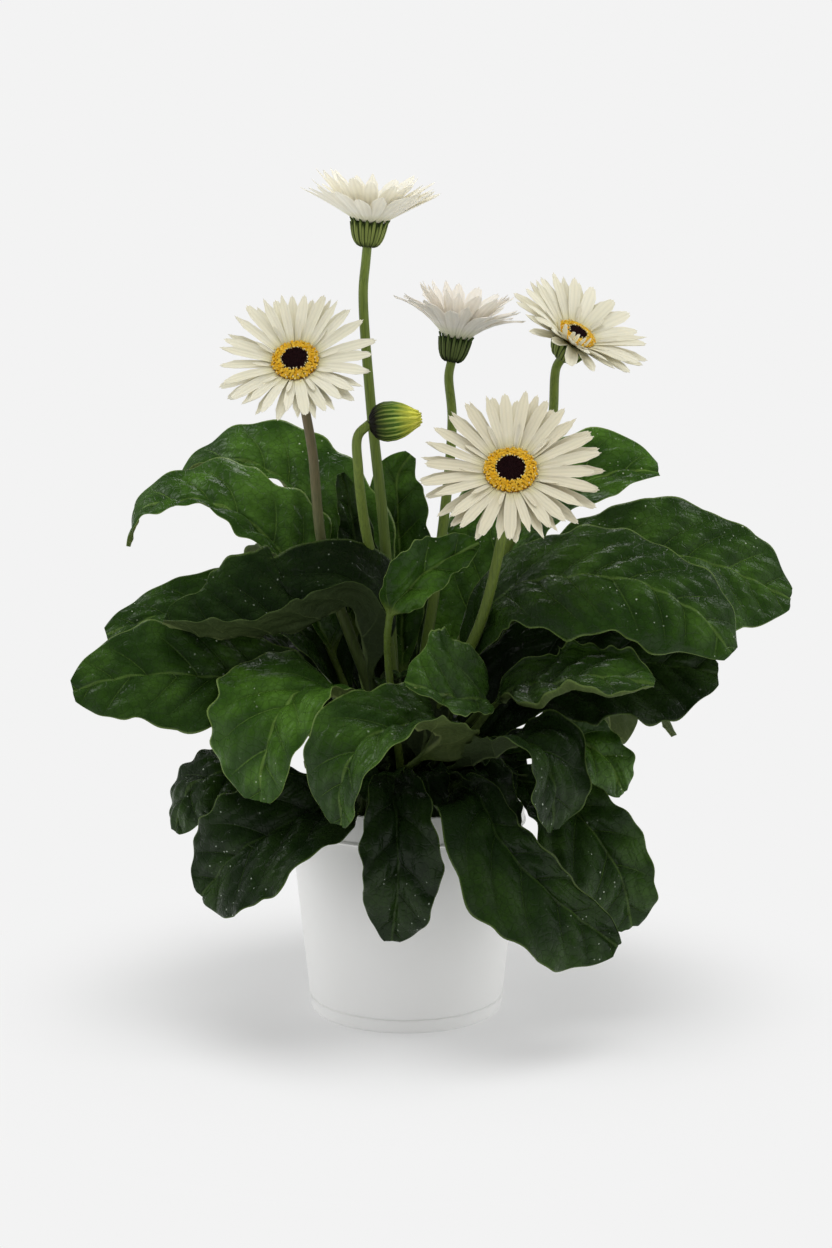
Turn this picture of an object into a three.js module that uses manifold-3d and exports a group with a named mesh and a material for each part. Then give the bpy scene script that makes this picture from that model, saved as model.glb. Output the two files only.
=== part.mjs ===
// A gerbera in a white plastic pot: a rosette of long-stalked leaves, five daisy-like flower heads and a bud.
// Millimetres, +Z up. The origin is the middle of the pot's base and the front is at -Y.
import * as THREE from "three";
import { mergeVertices } from "three/addons/utils/BufferGeometryUtils.js";
import Module from "manifold-3d";

const wasm = await Module();
wasm.setup();

// ---- Driving dimensions ----
const CLEARANCE = 0.3; // between pieces that touch

const POT = {
  height: 131,
  baseRadius: 56.5,
  wallTopRadius: 68.4,
  rimRadius: 70,
  rimHeight: 17, // the plain band above the bead
  wall: 1.8,
  floor: 2.5,
  footBand: 9, // up to the groove round the foot
  sides: 36,
  drainRadius: 3.5,
  drainRing: 44,
  drains: 4,
};
const SOIL_LEVEL = 114;
const CROWN = { radii: [32, 22.5, 14.2], tops: [118, 121, 124], depth: 16, sides: 18 };
const SEAT_RADII = [27.3, 18.4, 9.4]; // where the leaf stalks and flower stems stand on the crown

const LEAF = {
  stalkRadius: 2.5,
  neckRadius: 2, // the stalk where the blade starts
  stalkRings: [0, 0.13, 0.55], // as shares of the stalk
  thickness: 1.1,
  ribDepth: 2.2,
  tipShare: 0.985, // the blade ends in a small blunt tip here
};
const STEM = { footRadius: 3.6, neckRadius: 2.5, sides: 7, rows: 8 };
const RAY = {
  // a ray floret, seen as one petal
  thickness: 0.8,
  tipThickness: 0.6,
  layerGap: 0.6,
  rows: [0.4, 0.78, 1], // where its outline has points, as shares of its length
  arch: [0.1, 0.87], // the stretch of a sine arch that its sides follow: narrow root, blunt tip
};
const CALYX = { height: 13, bracts: 13, footRadius: 3.2, pointHeight: 0.9, pointReach: 0.8 };
const DISC = { spokes: 24, relief: 0.7, height: 2.2, edge: 0.5 };
const EYE = { edge: 0.3, sideHeight: 1.1, height: 2, dimple: 0.5, sides: 14 };

const COLOURS = {
  pot: 0xe9e9e8,
  soil: 0x2b211b,
  crown: 0x7d8f4e,
  leaf: 0x2f5a26,
  stem: 0x6f8a34,
  calyx: 0x4f6b33,
  petal: 0xf3eee0,
  disc: 0xe3a812,
  eye: 0x1c0d10,
  budBracts: 0x4b6420,
  budTip: 0xc6cf3c,
};

const UP = new THREE.Vector3(0, 0, 1);
const rad = THREE.MathUtils.degToRad;
const vec = (p) => new THREE.Vector3(...p);
const mix = (a, b, t) => a + (b - a) * t;
const clamp01 = (t) => Math.min(Math.max(t, 0), 1);
const smooth = (t) => t * t * (3 - 2 * t);

const plant = new THREE.Group();
plant.name = "potted_gerbera";

function addPiece(name, geometry, colour, roughness, parent = plant) {
  const material = new THREE.MeshStandardMaterial({ color: colour, roughness, metalness: 0 });
  const mesh = new THREE.Mesh(geometry, material);
  mesh.name = name;
  parent.add(mesh);
}

// ---- Solids ----
function indexed(points, index) {
  const geometry = new THREE.BufferGeometry().setFromPoints(points);
  geometry.setIndex(index);
  return geometry;
}

// A closed body through rings of equal length, each listed counterclockwise as seen from the last ring.
// From the side number given by under on, quads are split the other way, so both faces of a blade match.
function loft(rings, under = Infinity) {
  const count = rings[0].length;
  const index = [];
  for (let r = 0; r + 1 < rings.length; r++) {
    for (let i = 0; i < count; i++) {
      const a = r * count + i;
      const b = r * count + ((i + 1) % count);
      const c = b + count;
      const d = a + count;
      if (i < under) index.push(a, b, d, b, c, d);
      else index.push(a, b, c, a, c, d);
    }
  }
  // The ends are closed from side to side, so a folded ring closes along its fold.
  const last = (rings.length - 1) * count;
  const close = (a, b, c) => index.push(a, c, b, last + a, last + b, last + c);
  for (let i = 0, j = count - 1; i + 1 < j; j--) {
    close(i, i + 1, j);
    i++;
    if (i + 1 < j) close(i, j - 1, j);
  }
  return indexed(rings.flat(), index);
}

function solidOf(geometry) {
  const bare = geometry.clone();
  bare.deleteAttribute("normal");
  bare.deleteAttribute("uv");
  const merged = mergeVertices(bare, 1e-3);
  return new wasm.Manifold(
    new wasm.Mesh({
      numProp: 3,
      vertProperties: new Float32Array(merged.attributes.position.array),
      triVerts: new Uint32Array(merged.index.array),
    }),
  );
}

function geometryOf(solid) {
  const mesh = solid.getMesh();
  const geometry = new THREE.BufferGeometry();
  geometry.setAttribute("position", new THREE.BufferAttribute(mesh.vertProperties, 3));
  geometry.setIndex(new THREE.BufferAttribute(mesh.triVerts, 1));
  return geometry;
}

// A turned body about +Z from [radius, height] points listed upwards on the outside. They start and end on
// the axis or close on themselves.
function turned(profile, sides) {
  const points = profile.map(([r, z]) => new THREE.Vector2(r, z));
  return new THREE.LatheGeometry(points, sides).rotateX(Math.PI / 2);
}

// The same random numbers each time for one seed.
function seeded(seed) {
  let state = seed * 2654435761;
  return (low, high) => {
    state = (Math.imul(state ^ (state >>> 15), 2246822519) + 3266489917) >>> 0;
    return mix(low, high, state / 4294967296);
  };
}

// ---- Pot, soil and crown ----
const BEAD = POT.height - POT.rimHeight;
const potRadius = (z) => mix(POT.baseRadius, POT.wallTopRadius, z / BEAD);

function potGeometry() {
  const inside = (z) => potRadius(z) - POT.wall;
  const groove = POT.footBand;
  const profile = [
    [0, 0],
    [POT.baseRadius - 2, 0],
    [potRadius(0), 2],
    [potRadius(groove) + 0.3, groove - 0.7],
    [potRadius(groove) - 0.6, groove],
    [potRadius(groove), groove + 0.8],
    [potRadius(BEAD), BEAD - 1.4],
    [POT.rimRadius + 0.6, BEAD],
    [POT.rimRadius - 0.4, BEAD + 1.4],
    [POT.rimRadius, POT.height],
    [POT.rimRadius - POT.wall, POT.height],
    [inside(BEAD), BEAD],
    [inside(POT.floor), POT.floor],
    [0, POT.floor],
  ];
  let pot = solidOf(turned(profile, POT.sides));
  for (let i = 0; i < POT.drains; i++) {
    const turn = (2 * Math.PI * (i + 0.5)) / POT.drains;
    const drain = new THREE.CylinderGeometry(POT.drainRadius, POT.drainRadius, 4 * POT.floor, 8);
    drain.rotateX(Math.PI / 2);
    drain.translate(POT.drainRing * Math.cos(turn), POT.drainRing * Math.sin(turn), 0);
    pot = pot.subtract(solidOf(drain));
  }
  return geometryOf(pot);
}

function soilGeometry() {
  const outer = (z) => potRadius(z) - POT.wall - CLEARANCE;
  const hollow = CROWN.radii[0] + 0.8;
  const shoulder = SOIL_LEVEL - 4;
  const profile = [
    [0, POT.floor + CLEARANCE],
    [outer(POT.floor), POT.floor + CLEARANCE],
    [outer(shoulder), shoulder],
    [outer(shoulder) - 6, SOIL_LEVEL],
    [48, SOIL_LEVEL + 1],
    [hollow, SOIL_LEVEL + 1],
    [hollow, CROWN.tops[0] - CROWN.depth - CLEARANCE],
    [0, CROWN.tops[0] - CROWN.depth - CLEARANCE],
  ];
  const soil = turned(profile, 24);
  // The top face rises and falls in crumbs.
  const place = soil.attributes.position;
  for (let i = 0; i < place.count; i++) {
    if (place.getZ(i) < SOIL_LEVEL - 1) continue;
    const crumb = Math.sin(place.getX(i) * 0.9) * Math.cos(place.getY(i) * 1.1);
    place.setZ(i, place.getZ(i) + 1.2 * crumb);
  }
  return soil;
}

function crownGeometry() {
  const foot = CROWN.tops[0] - CROWN.depth;
  const profile = [
    [0, foot],
    [CROWN.radii[0] - 4, foot],
    [CROWN.radii[0], foot + 5],
  ];
  CROWN.radii.forEach((radius, i) => {
    if (i) profile.push([radius + 0.5, CROWN.tops[i - 1]]);
    profile.push([radius, CROWN.tops[i]]);
  });
  profile.push([0, CROWN.tops.at(-1)]);
  return turned(profile, CROWN.sides);
}

addPiece("pot", potGeometry(), COLOURS.pot, 0.45);
addPiece("soil", soilGeometry(), COLOURS.soil, 0.95);
addPiece("crown", crownGeometry(), COLOURS.crown, 0.7);

// The point of the crown where a stalk or stem stands, from its ring (0 is the outer one) and its bearing.
function seat([ring, bearing]) {
  const radius = SEAT_RADII[ring];
  const turn = rad(bearing);
  return new THREE.Vector3(
    radius * Math.cos(turn),
    radius * Math.sin(turn),
    CROWN.tops[ring] + CLEARANCE,
  );
}

// ---- Leaves ----
// seat: where the stalk stands on the crown. rise: how far it goes straight up. rib: points that the midrib
// then passes. start: where the blade begins, from 0 at the top of the rise to 1 at the rib's first point.
// heading: the bearing that its left and right are seen from, when the rib doesn't give it.
// half: the half widths, left and right. widest: where along the blade. round: 0.5 is a round end, 1 a
// pointed one. roll: how far the blade leans about its midrib, at its foot and its tip. left, right: how
// steeply that half rises from the midrib, at the foot and the tip, and its further turn at the margin.
// wave, waves, phase: the margin's rise and fall, how many there are, and where they begin. lobe: its
// scallops, as a share of the width. rows: how many rows of faces along the blade.
const LEAF_DEFAULTS = {
  half: [28, 28],
  widest: 0.6,
  round: 0.6,
  roll: [0, 0],
  left: [35, 8, 0],
  right: [35, 8, 0],
  wave: 3,
  waves: 3,
  phase: 0,
  lobe: 0.06,
  rise: 18,
  start: 0.5,
  rows: 11,
};

const LEAVES = [
  {
    name: "leaf_high_left_front",
    seat: [1, 176],
    rib: [[-69, 10, 264], [-92, 22, 286], [-107, 27, 294], [-125, 32, 298], [-156, 36, 292], [-167, 38, 268]],
    half: [12, 37],
    roll: [0, 0],
    left: [5, -5, -20],
    right: [75, 18, 0],
    round: 0.55,
    lobe: 0.16,
    phase: 2.9,
  },
  {
    name: "leaf_high_left_back",
    seat: [1, 146],
    rib: [[-52, 45, 285], [-70, 60, 303], [-90, 71, 315], [-111, 79, 317], [-131, 86, 310], [-148, 92, 290]],
    half: [8, 40],
    roll: [0, 0],
    left: [0, 0, 0],
    right: [62, 36, 0],
    widest: 0.42,
  },
  {
    name: "leaf_folded_left",
    seat: [1, 214],
    rib: [[-32, -28, 245], [-60, -39, 234], [-88, -44, 231], [-116, -48, 232], [-138, -50, 241]],
    half: [28, 53],
    left: [62, 20, 0],
    right: [65, 50, 0],
  },
  {
    name: "leaf_mid_left_back",
    seat: [0, 172],
    rib: [[-60, 8, 222], [-100, 11, 234], [-140, 9, 234], [-178, 4, 222]],
    half: [37, 30],
    roll: [30, 25],
    start: 0.25,
  },
  {
    name: "leaf_mid_left",
    seat: [0, 203],
    rib: [[-66, -32, 190], [-104, -46, 206], [-138, -54, 210], [-165, -58, 208], [-189, -59, 201]],
    half: [36, 35],
    roll: [40, 40],
    left: [20, -10, -10],
    start: 0.35,
  },
  {
    name: "leaf_front_left",
    seat: [0, 234],
    rib: [[-38, -46, 196], [-56, -69, 203], [-69, -87, 194], [-77, -95, 172], [-80, -96, 145]],
    half: [27, 43],
    left: [25, 0, -10],
    widest: 0.55,
    round: 0.5,
  },
  {
    name: "leaf_front",
    seat: [0, 250],
    rib: [[20, -68, 178], [-2, -102, 190], [-23, -121, 185], [-34, -127, 165], [-35, -123, 138]],
    half: [28, 36],
    roll: [15, 0],
    widest: 0.5,
  },
  {
    name: "leaf_cup",
    seat: [1, 318],
    rib: [[44, -66, 197], [28, -90, 203], [12, -106, 211], [-1, -110, 217]],
    half: [15, 40],
    left: [-25, -30, 0],
    right: [70, 65, 0],
    rise: 22,
    round: 0.5,
    widest: 0.6,
    wave: 1.5,
    start: 0.8,
  },
  {
    name: "leaf_boat",
    seat: [0, 316],
    rib: [[60, -38, 199], [78, -62, 206], [102, -78, 214], [123, -85, 213], [138, -88, 211]],
    half: [30, 28],
    left: [50, 15, 0],
    right: [-35, -15, 10],
    start: 0.7,
  },
  {
    name: "leaf_right_front",
    seat: [1, 340],
    rib: [[52, -22, 248], [90, -42, 264], [130, -54, 262], [162, -62, 246], [184, -66, 222]],
    half: [40, 38],
    roll: [-25, -30],
    left: [25, -8, 0],
    right: [0, -20, -20],
  },
  {
    name: "leaf_right_back",
    seat: [1, 4],
    rib: [[80, 6, 250], [130, 10, 268], [176, 16, 264], [230, 24, 240]],
    half: [40, 50],
    roll: [-30, -50],
    left: [20, 0, 0],
    right: [20, 0, 0],
    start: 0.75,
  },
  {
    name: "leaf_right_shade",
    seat: [0, 344],
    rib: [[62, -14, 199], [102, -12, 212], [144, -10, 208], [184, -8, 202]],
    half: [34, 50],
    roll: [-35, -42],
    right: [10, 0, 0],
    start: 0.25,
  },
  {
    name: "leaf_low_right_side",
    seat: [0, 16],
    rib: [[80, 20, 198], [115, 22, 199], [139, 24, 184], [161, 24, 157]],
    half: [26, 26],
    rows: 8,
  },
  {
    name: "leaf_high_right",
    seat: [1, 30],
    rib: [[66, 56, 272], [96, 62, 298], [128, 68, 312], [156, 70, 311]],
    half: [48, 30],
    roll: [-30, -30],
    start: 0.3,
  },
  {
    name: "leaf_centre_back",
    seat: [1, 96],
    rib: [[-3, 50, 240], [-5, 61, 285], [-5, 65, 310], [4, 65, 324]],
    heading: 90,
    half: [21, 20],
    rows: 9,
  },
  {
    name: "leaf_upright",
    seat: [1, 262],
    rib: [[-9, -58, 243], [0, -57, 257], [12, -54, 268], [26, -50, 276], [42, -46, 284]],
    heading: 90,
    half: [19, 14],
    start: 1,
    widest: 0.4,
  },
  {
    name: "leaf_low_left_front",
    seat: [0, 218],
    rib: [[-50, -68, 136], [-66, -80, 130], [-92, -86, 116], [-116, -80, 88]],
    half: [45, 32],
    roll: [40, 40],
  },
  {
    name: "leaf_low_left_side",
    seat: [0, 188],
    rib: [[-84, -26, 144], [-108, -30, 148], [-126, -30, 137], [-135, -30, 112]],
    half: [28, 22],
    roll: [10, 10],
    left: [-25, -35, 0],
    rows: 9,
    wave: 1,
  },
  {
    name: "leaf_low_front",
    seat: [0, 266],
    rib: [[-7, -72, 152], [-5, -96, 136], [-4, -104, 106], [-8, -96, 66]],
    half: [25, 21],
  },
  {
    name: "leaf_low_right_front",
    seat: [0, 300],
    rib: [[40, -74, 146], [52, -98, 126], [78, -104, 98], [120, -92, 62]],
    half: [18, 40],
    roll: [-45, -55],
    left: [30, 20, 20],
    right: [20, 0, 0],
    widest: 0.56,
  },
  {
    name: "leaf_low_right",
    seat: [0, 330],
    rib: [[80, -38, 142], [104, -56, 122], [122, -60, 94], [130, -50, 60]],
    half: [22, 36],
    roll: [-50, -70],
  },
  {
    name: "leaf_low_right_back",
    seat: [0, 358],
    rib: [[76, -6, 158], [100, -10, 163], [118, -12, 150], [128, -10, 130]],
    half: [18, 28],
    roll: [-30, -50],
    rows: 9,
  },
  {
    name: "leaf_tongue",
    seat: [0, 284],
    rib: [[48, -62, 166], [72, -86, 176], [81, -95, 156], [81, -93, 128]],
    half: [28, 25],
  },
  {
    name: "leaf_young",
    seat: [1, 120],
    rib: [[-20, 20, 225], [-29, 24, 270], [-34, 26, 300], [-39, 26, 317]],
    heading: 110,
    half: [12, 12],
    rows: 8,
  },
  {
    name: "leaf_back_low_right",
    seat: [0, 45],
    rib: [[48, 44, 180], [84, 76, 204], [118, 106, 180], [134, 120, 130]],
    half: [32, 36],
  },
  {
    name: "leaf_back_low",
    seat: [0, 90],
    rib: [[4, 52, 170], [2, 94, 205], [-2, 132, 186], [-4, 150, 136]],
    half: [36, 36],
    start: 0.3,
  },
  {
    name: "leaf_back_low_left",
    seat: [0, 135],
    rib: [[-46, 44, 178], [-80, 76, 206], [-106, 102, 190], [-118, 118, 146]],
    half: [36, 36],
    start: 0.3,
  },
  {
    name: "leaf_back_right",
    seat: [0, 66],
    rib: [[30, 54, 206], [50, 88, 250], [68, 124, 256], [80, 148, 222]],
    half: [36, 36],
    start: 0.3,
  },
  {
    name: "leaf_back_left",
    seat: [0, 113],
    rib: [[-30, 54, 206], [-52, 88, 250], [-72, 122, 254], [-86, 144, 220]],
    half: [36, 36],
    start: 0.3,
  },
];

class Leaf {
  constructor(settings) {
    Object.assign(this, LEAF_DEFAULTS, settings);
    const foot = seat(this.seat);
    const above = foot.clone().addScaledVector(UP, this.rise);
    const rib = this.rib.map(vec);
    this.curve = new THREE.CatmullRomCurve3([foot, above, ...rib]);
    const steps = 40 * (rib.length + 1);
    this.curve.arcLengthDivisions = steps;
    const lengths = this.curve.getLengths();
    this.bladeStart = lengths[Math.round(40 * (1 + this.start))] / lengths[steps];
    const along = rib.at(-1).clone().sub(rib[0]);
    const heading = this.heading === undefined ? Math.atan2(along.y, along.x) : rad(this.heading);
    this.side = new THREE.Vector3(Math.sin(heading), -Math.cos(heading), 0);
  }

  // The midrib's place, and the blade's sideways and upper directions, at a share of its whole length.
  frame(share, roll) {
    const place = this.curve.getPointAt(share);
    const along = share === 0 ? UP : this.curve.getTangentAt(share);
    const level = this.side.clone().addScaledVector(along, -this.side.dot(along)).normalize();
    const side = level.applyAxisAngle(along, -rad(roll));
    return { place, side, up: side.clone().cross(along) };
  }

  // The width at v along the blade, as a share of its greatest.
  outline(v) {
    const power = Math.log(0.5) / Math.log(this.widest);
    return Math.pow(Math.sin(Math.PI * Math.pow(v, power)), this.round);
  }

  // The half width at v along the blade, on side s (-1 left, 1 right).
  width(v, s) {
    const scallop = Math.cos(2 * Math.PI * (this.waves + 0.5) * v + this.phase + s);
    return this.half[s < 0 ? 0 : 1] * this.outline(v) * (1 + this.lobe * scallop);
  }

  // The offsets, sideways and up, of a point at v along the blade, u across it (-1 to 1) and depth under it.
  point(v, u, depth) {
    const s = u < 0 ? -1 : 1;
    const reach = Math.abs(u);
    const [atFoot, atTip, margin] = s < 0 ? this.left : this.right;
    const start = rad(mix(atFoot, atTip, v));
    const end = start + rad(margin) * reach;
    const slope = (start + end) / 2;
    const width = this.width(v, s) * reach;
    const swell = Math.sin(2 * Math.PI * this.waves * v + this.phase + 1.6 * s);
    const lift = this.wave * this.outline(v) * swell * reach * reach;
    const lean = u ? end : 0;
    return [
      s * (width * Math.cos(slope) + depth * Math.sin(lean)),
      width * Math.sin(slope) + lift - depth * Math.cos(lean),
    ];
  }

  ring(share) {
    const v = clamp01((share - this.bladeStart) / (1 - this.bladeStart));
    const { place, side, up } = this.frame(share, mix(this.roll[0], this.roll[1], v));
    const radius = mix(LEAF.stalkRadius, LEAF.neckRadius, clamp01(share / this.bladeStart));
    const open = smooth(clamp01(v / 0.14));
    const rib = mix(LEAF.ribDepth, LEAF.thickness, v);
    const upper = [-1, -0.5, 0, 0.5, 1].map((u) => [u, 0]);
    const lower = [[0.5, LEAF.thickness], [0, rib], [-0.5, LEAF.thickness]];
    return [...upper, ...lower].map(([u, depth], i) => {
      const turn = Math.PI * (1 - i / 4);
      const [out, lift] = this.point(v, u, depth);
      const across = mix(radius * Math.cos(turn), out, open);
      const height = mix(radius * Math.sin(turn), lift, open);
      return place.clone().addScaledVector(side, across).addScaledVector(up, height);
    });
  }

  geometry() {
    const rings = LEAF.stalkRings.map((share) => this.ring(this.bladeStart * share));
    for (let i = 0; i <= this.rows; i++) {
      const v = LEAF.tipShare * (1 - Math.pow(1 - i / this.rows, 1.25));
      rings.push(this.ring(mix(this.bladeStart, 1, v)));
    }
    return loft(rings, 4);
  }
}

for (const settings of LEAVES) {
  addPiece(settings.name, new Leaf(settings).geometry(), COLOURS.leaf, 0.5);
}

// ---- Flower heads ----
// A head's own +Z is the way it faces, and its origin is the middle of its disc. hub: the radius of the plate
// that the petals grow from. petals: in each of two layers. length, width: a petal's. lower, upper: how
// steeply each layer's petals rise, at their roots and tips. eye: the dark middle's radius. via: points that
// the stem passes.
const HEADS = [
  {
    name: "flower_top",
    centre: [-20.5, 12, 463],
    facing: [0.1, -0.08, 1],
    hub: 10.5,
    petals: 15,
    length: 34,
    width: 7.6,
    lower: [32, 29],
    upper: [46, 42],
    eye: 4.5,
    seat: [2, 130],
    via: [[-12, 8, 273], [-20.5, 10, 359], [-24.5, 12, 420]],
  },
  {
    name: "flower_left",
    centre: [-62, -22, 383],
    facing: [-0.08, -0.77, 0.64],
    hub: 13.6,
    petals: 20,
    length: 32,
    width: 6.6,
    lower: [6, 4],
    upper: [16, 12],
    eye: 7.4,
    seat: [2, 190],
    via: [[-47, 5, 266], [-54, 0, 332]],
  },
  {
    name: "flower_mid",
    centre: [29.5, 35, 396],
    facing: [0.18, -0.05, 1],
    hub: 9.5,
    petals: 14,
    length: 34,
    width: 7.6,
    lower: [36, 26],
    upper: [52, 48],
    eye: 4,
    seat: [2, 70],
    via: [[20, 20, 270], [27, 30, 346]],
  },
  {
    name: "flower_right",
    centre: [99, 32, 395],
    facing: [0.42, -0.47, 0.78],
    hub: 12.2,
    petals: 16,
    length: 32,
    width: 7.4,
    lower: [18, 14],
    upper: [28, 22],
    eye: 6,
    seat: [2, 10],
    via: [[44, 26, 240], [74, 36, 300], [86, 37, 345]],
  },
  {
    name: "flower_front",
    centre: [58, -58, 325],
    facing: [0, -0.77, 0.64],
    hub: 15.1,
    petals: 21,
    length: 36,
    width: 7,
    lower: [5, 2],
    upper: [14, 10],
    eye: 8.1,
    seat: [2, 310],
    via: [[42, -30, 234], [54, -38, 285]],
  },
];

const CALYX_TOP = -2 * RAY.thickness - RAY.layerGap - 2 * CLEARANCE;

// The four corners of a petal's cross-section at a share of its length: both faces, right and left.
function petalSection(root, turn, share, steepness, shape) {
  const { length, width } = shape;
  const rise = rad(mix(steepness[0], steepness[1], share / 2));
  const out = root + length * share * Math.cos(rise);
  const height = length * share * Math.sin(rise);
  const half = (width / 2) * Math.pow(Math.sin(Math.PI * mix(RAY.arch[0], RAY.arch[1], share)), 0.8);
  const thickness = mix(RAY.thickness, RAY.tipThickness, share);
  const radial = new THREE.Vector3(Math.cos(turn), Math.sin(turn), 0);
  const across = UP.clone().cross(radial);
  const top = new THREE.Vector3().addScaledVector(radial, out).addScaledVector(UP, height);
  const under = new THREE.Vector3()
    .addScaledVector(radial, thickness * Math.sin(rise))
    .addScaledVector(UP, -thickness * Math.cos(rise));
  return [
    top.clone().add(under).addScaledVector(across, -half),
    top.clone().add(under).addScaledVector(across, half),
    top.clone().addScaledVector(across, half),
    top.clone().addScaledVector(across, -half),
  ];
}

// All petals of a head as one body: four rows of points round the hub. The lower layer's petals grow out of
// every other face between the first two rows, and the upper layer's out of those between the last two.
function petalsGeometry(head, random) {
  const count = 2 * head.petals;
  const levels = [0, RAY.thickness, RAY.thickness + RAY.layerGap, 2 * RAY.thickness + RAY.layerGap];
  const base = CALYX_TOP + CLEARANCE;
  const points = [];
  const index = [];
  for (const level of levels) {
    for (let i = 0; i < count; i++) {
      const turn = (2 * Math.PI * (i - 0.5)) / count;
      points.push(new THREE.Vector3(head.hub * Math.cos(turn), head.hub * Math.sin(turn), base + level));
    }
  }
  const quad = (a, b, c, d) => index.push(a, b, c, a, c, d);
  for (let row = 0; row < 3; row++) {
    for (let i = 0; i < count; i++) {
      const corners = [row * count + i, row * count + ((i + 1) % count)];
      corners.push(corners[1] + count, corners[0] + count);
      const grows = (row === 0 && i % 2 === 0) || (row === 2 && i % 2 === 1);
      if (!grows) {
        quad(...corners);
        continue;
      }
      const turn = (2 * Math.PI * (i + random(-0.12, 0.12))) / count;
      const tilt = random(-2, 2);
      const steepness = (row ? head.upper : head.lower).map((angle) => angle + tilt);
      const shape = { length: head.length * random(0.93, 1.05), width: head.width * random(0.9, 1.06) };
      const level = base + levels[row + 1];
      let from = corners;
      for (const share of RAY.rows) {
        const first = points.length;
        for (const corner of petalSection(head.hub, turn, share, steepness, shape)) {
          points.push(corner.addScaledVector(UP, level));
        }
        const to = [first, first + 1, first + 2, first + 3];
        for (let k = 0; k < 4; k++) quad(from[k], from[(k + 1) % 4], to[(k + 1) % 4], to[k]);
        from = to;
      }
      quad(...from);
    }
  }
  for (let i = 1; i + 1 < count; i++) {
    index.push(0, i + 1, i);
    index.push(3 * count, 3 * count + i, 3 * count + i + 1);
  }
  return indexed(points, index);
}

// The ring of tiny yellow florets, as a raised checker relief.
function discGeometry(head) {
  const inner = head.eye + CLEARANCE;
  const outer = head.hub - CLEARANCE;
  const profile = [
    [inner, 0],
    [outer, 0],
    [outer - DISC.edge, 0.7],
    [mix(inner, outer, 0.62), 1],
    [mix(inner, outer, 0.3), 0.85],
  ].map(([radius, share]) => [radius, share * DISC.height]);
  const points = [];
  const index = [];
  const count = profile.length;
  for (let i = 0; i < DISC.spokes; i++) {
    const turn = (2 * Math.PI * i) / DISC.spokes;
    profile.forEach(([radius, height], k) => {
      const bump = k > 1 && (i + k) % 2 ? DISC.relief : 0;
      points.push(new THREE.Vector3(radius * Math.cos(turn), radius * Math.sin(turn), height + bump));
    });
    const here = i * count;
    const next = ((i + 1) % DISC.spokes) * count;
    for (let k = 0; k < count; k++) {
      const m = (k + 1) % count;
      index.push(here + k, next + k, next + m, here + k, next + m, here + m);
    }
  }
  return indexed(points, index);
}

// The dark middle: a low dome, dimpled at its top.
function eyeGeometry(head) {
  const dome = [
    [0, 0],
    [head.eye, 0],
    [head.eye - EYE.edge, EYE.sideHeight],
    [0.62 * head.eye, EYE.height],
    [0, EYE.height - EYE.dimple],
  ];
  return turned(dome, EYE.sides);
}

// The green cup of bracts under the petals: a rounded bowl, ribbed, with the bracts' points round its rim.
function calyxGeometry(head) {
  const bowl = [
    [CALYX.footRadius, -CALYX.height],
    [0.6 * head.hub, -0.9 * CALYX.height],
    [0.86 * head.hub, -0.5 * CALYX.height],
    [head.hub, -CALYX.pointHeight],
  ];
  const sides = 2 * CALYX.bracts;
  const rings = bowl.map(([radius, height], row) => {
    const ring = [];
    for (let i = 0; i < sides; i++) {
      const turn = (2 * Math.PI * i) / sides;
      const middle = i % 2; // of a bract, or between two
      const rim = row === bowl.length - 1 ? middle : 0;
      const out = radius + 0.25 * row * middle + CALYX.pointReach * rim;
      const z = CALYX_TOP + height + CALYX.pointHeight * rim;
      ring.push(new THREE.Vector3(out * Math.cos(turn), out * Math.sin(turn), z));
    }
    return ring;
  });
  return loft(rings);
}

// ---- Stems ----
// A tapered round stem through the given points, level at its foot and square to facing at its top.
function stemGeometry(points, facing) {
  const curve = new THREE.CatmullRomCurve3(points);
  const ends = { 0: UP, [STEM.rows]: facing };
  const rings = [];
  for (let r = 0; r <= STEM.rows; r++) {
    const share = r / STEM.rows;
    const along = ends[r] ?? curve.getTangentAt(share);
    const place = curve.getPointAt(share);
    const side = new THREE.Vector3(1, 0, 0).addScaledVector(along, -along.x).normalize();
    const across = along.clone().cross(side);
    const radius = mix(STEM.footRadius, STEM.neckRadius, share);
    const ring = [];
    for (let i = 0; i < STEM.sides; i++) {
      const turn = (2 * Math.PI * i) / STEM.sides;
      const offset = side.clone().multiplyScalar(radius * Math.cos(turn));
      ring.push(place.clone().add(offset).addScaledVector(across, radius * Math.sin(turn)));
    }
    rings.push(ring);
  }
  return loft(rings);
}

HEADS.forEach((head, number) => {
  const random = seeded(number + 1);
  const facing = vec(head.facing).normalize();
  const centre = vec(head.centre);
  const group = new THREE.Group();
  group.position.copy(centre);
  group.quaternion.setFromUnitVectors(UP, facing);
  plant.add(group);
  addPiece(head.name + "_petals", petalsGeometry(head, random), COLOURS.petal, 0.6, group);
  addPiece(head.name + "_disc", discGeometry(head), COLOURS.disc, 0.8, group);
  addPiece(head.name + "_eye", eyeGeometry(head), COLOURS.eye, 0.8, group);
  addPiece(head.name + "_calyx", calyxGeometry(head), COLOURS.calyx, 0.6, group);
  const foot = seat(head.seat);
  const top = centre.clone().addScaledVector(facing, CALYX_TOP - CALYX.height - CLEARANCE);
  const neck = top.clone().addScaledVector(facing, -9);
  const path = [foot, foot.clone().addScaledVector(UP, 30), ...head.via.map(vec), neck, top];
  addPiece(head.name + "_stem", stemGeometry(path, facing), COLOURS.stem, 0.55);
});

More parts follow.
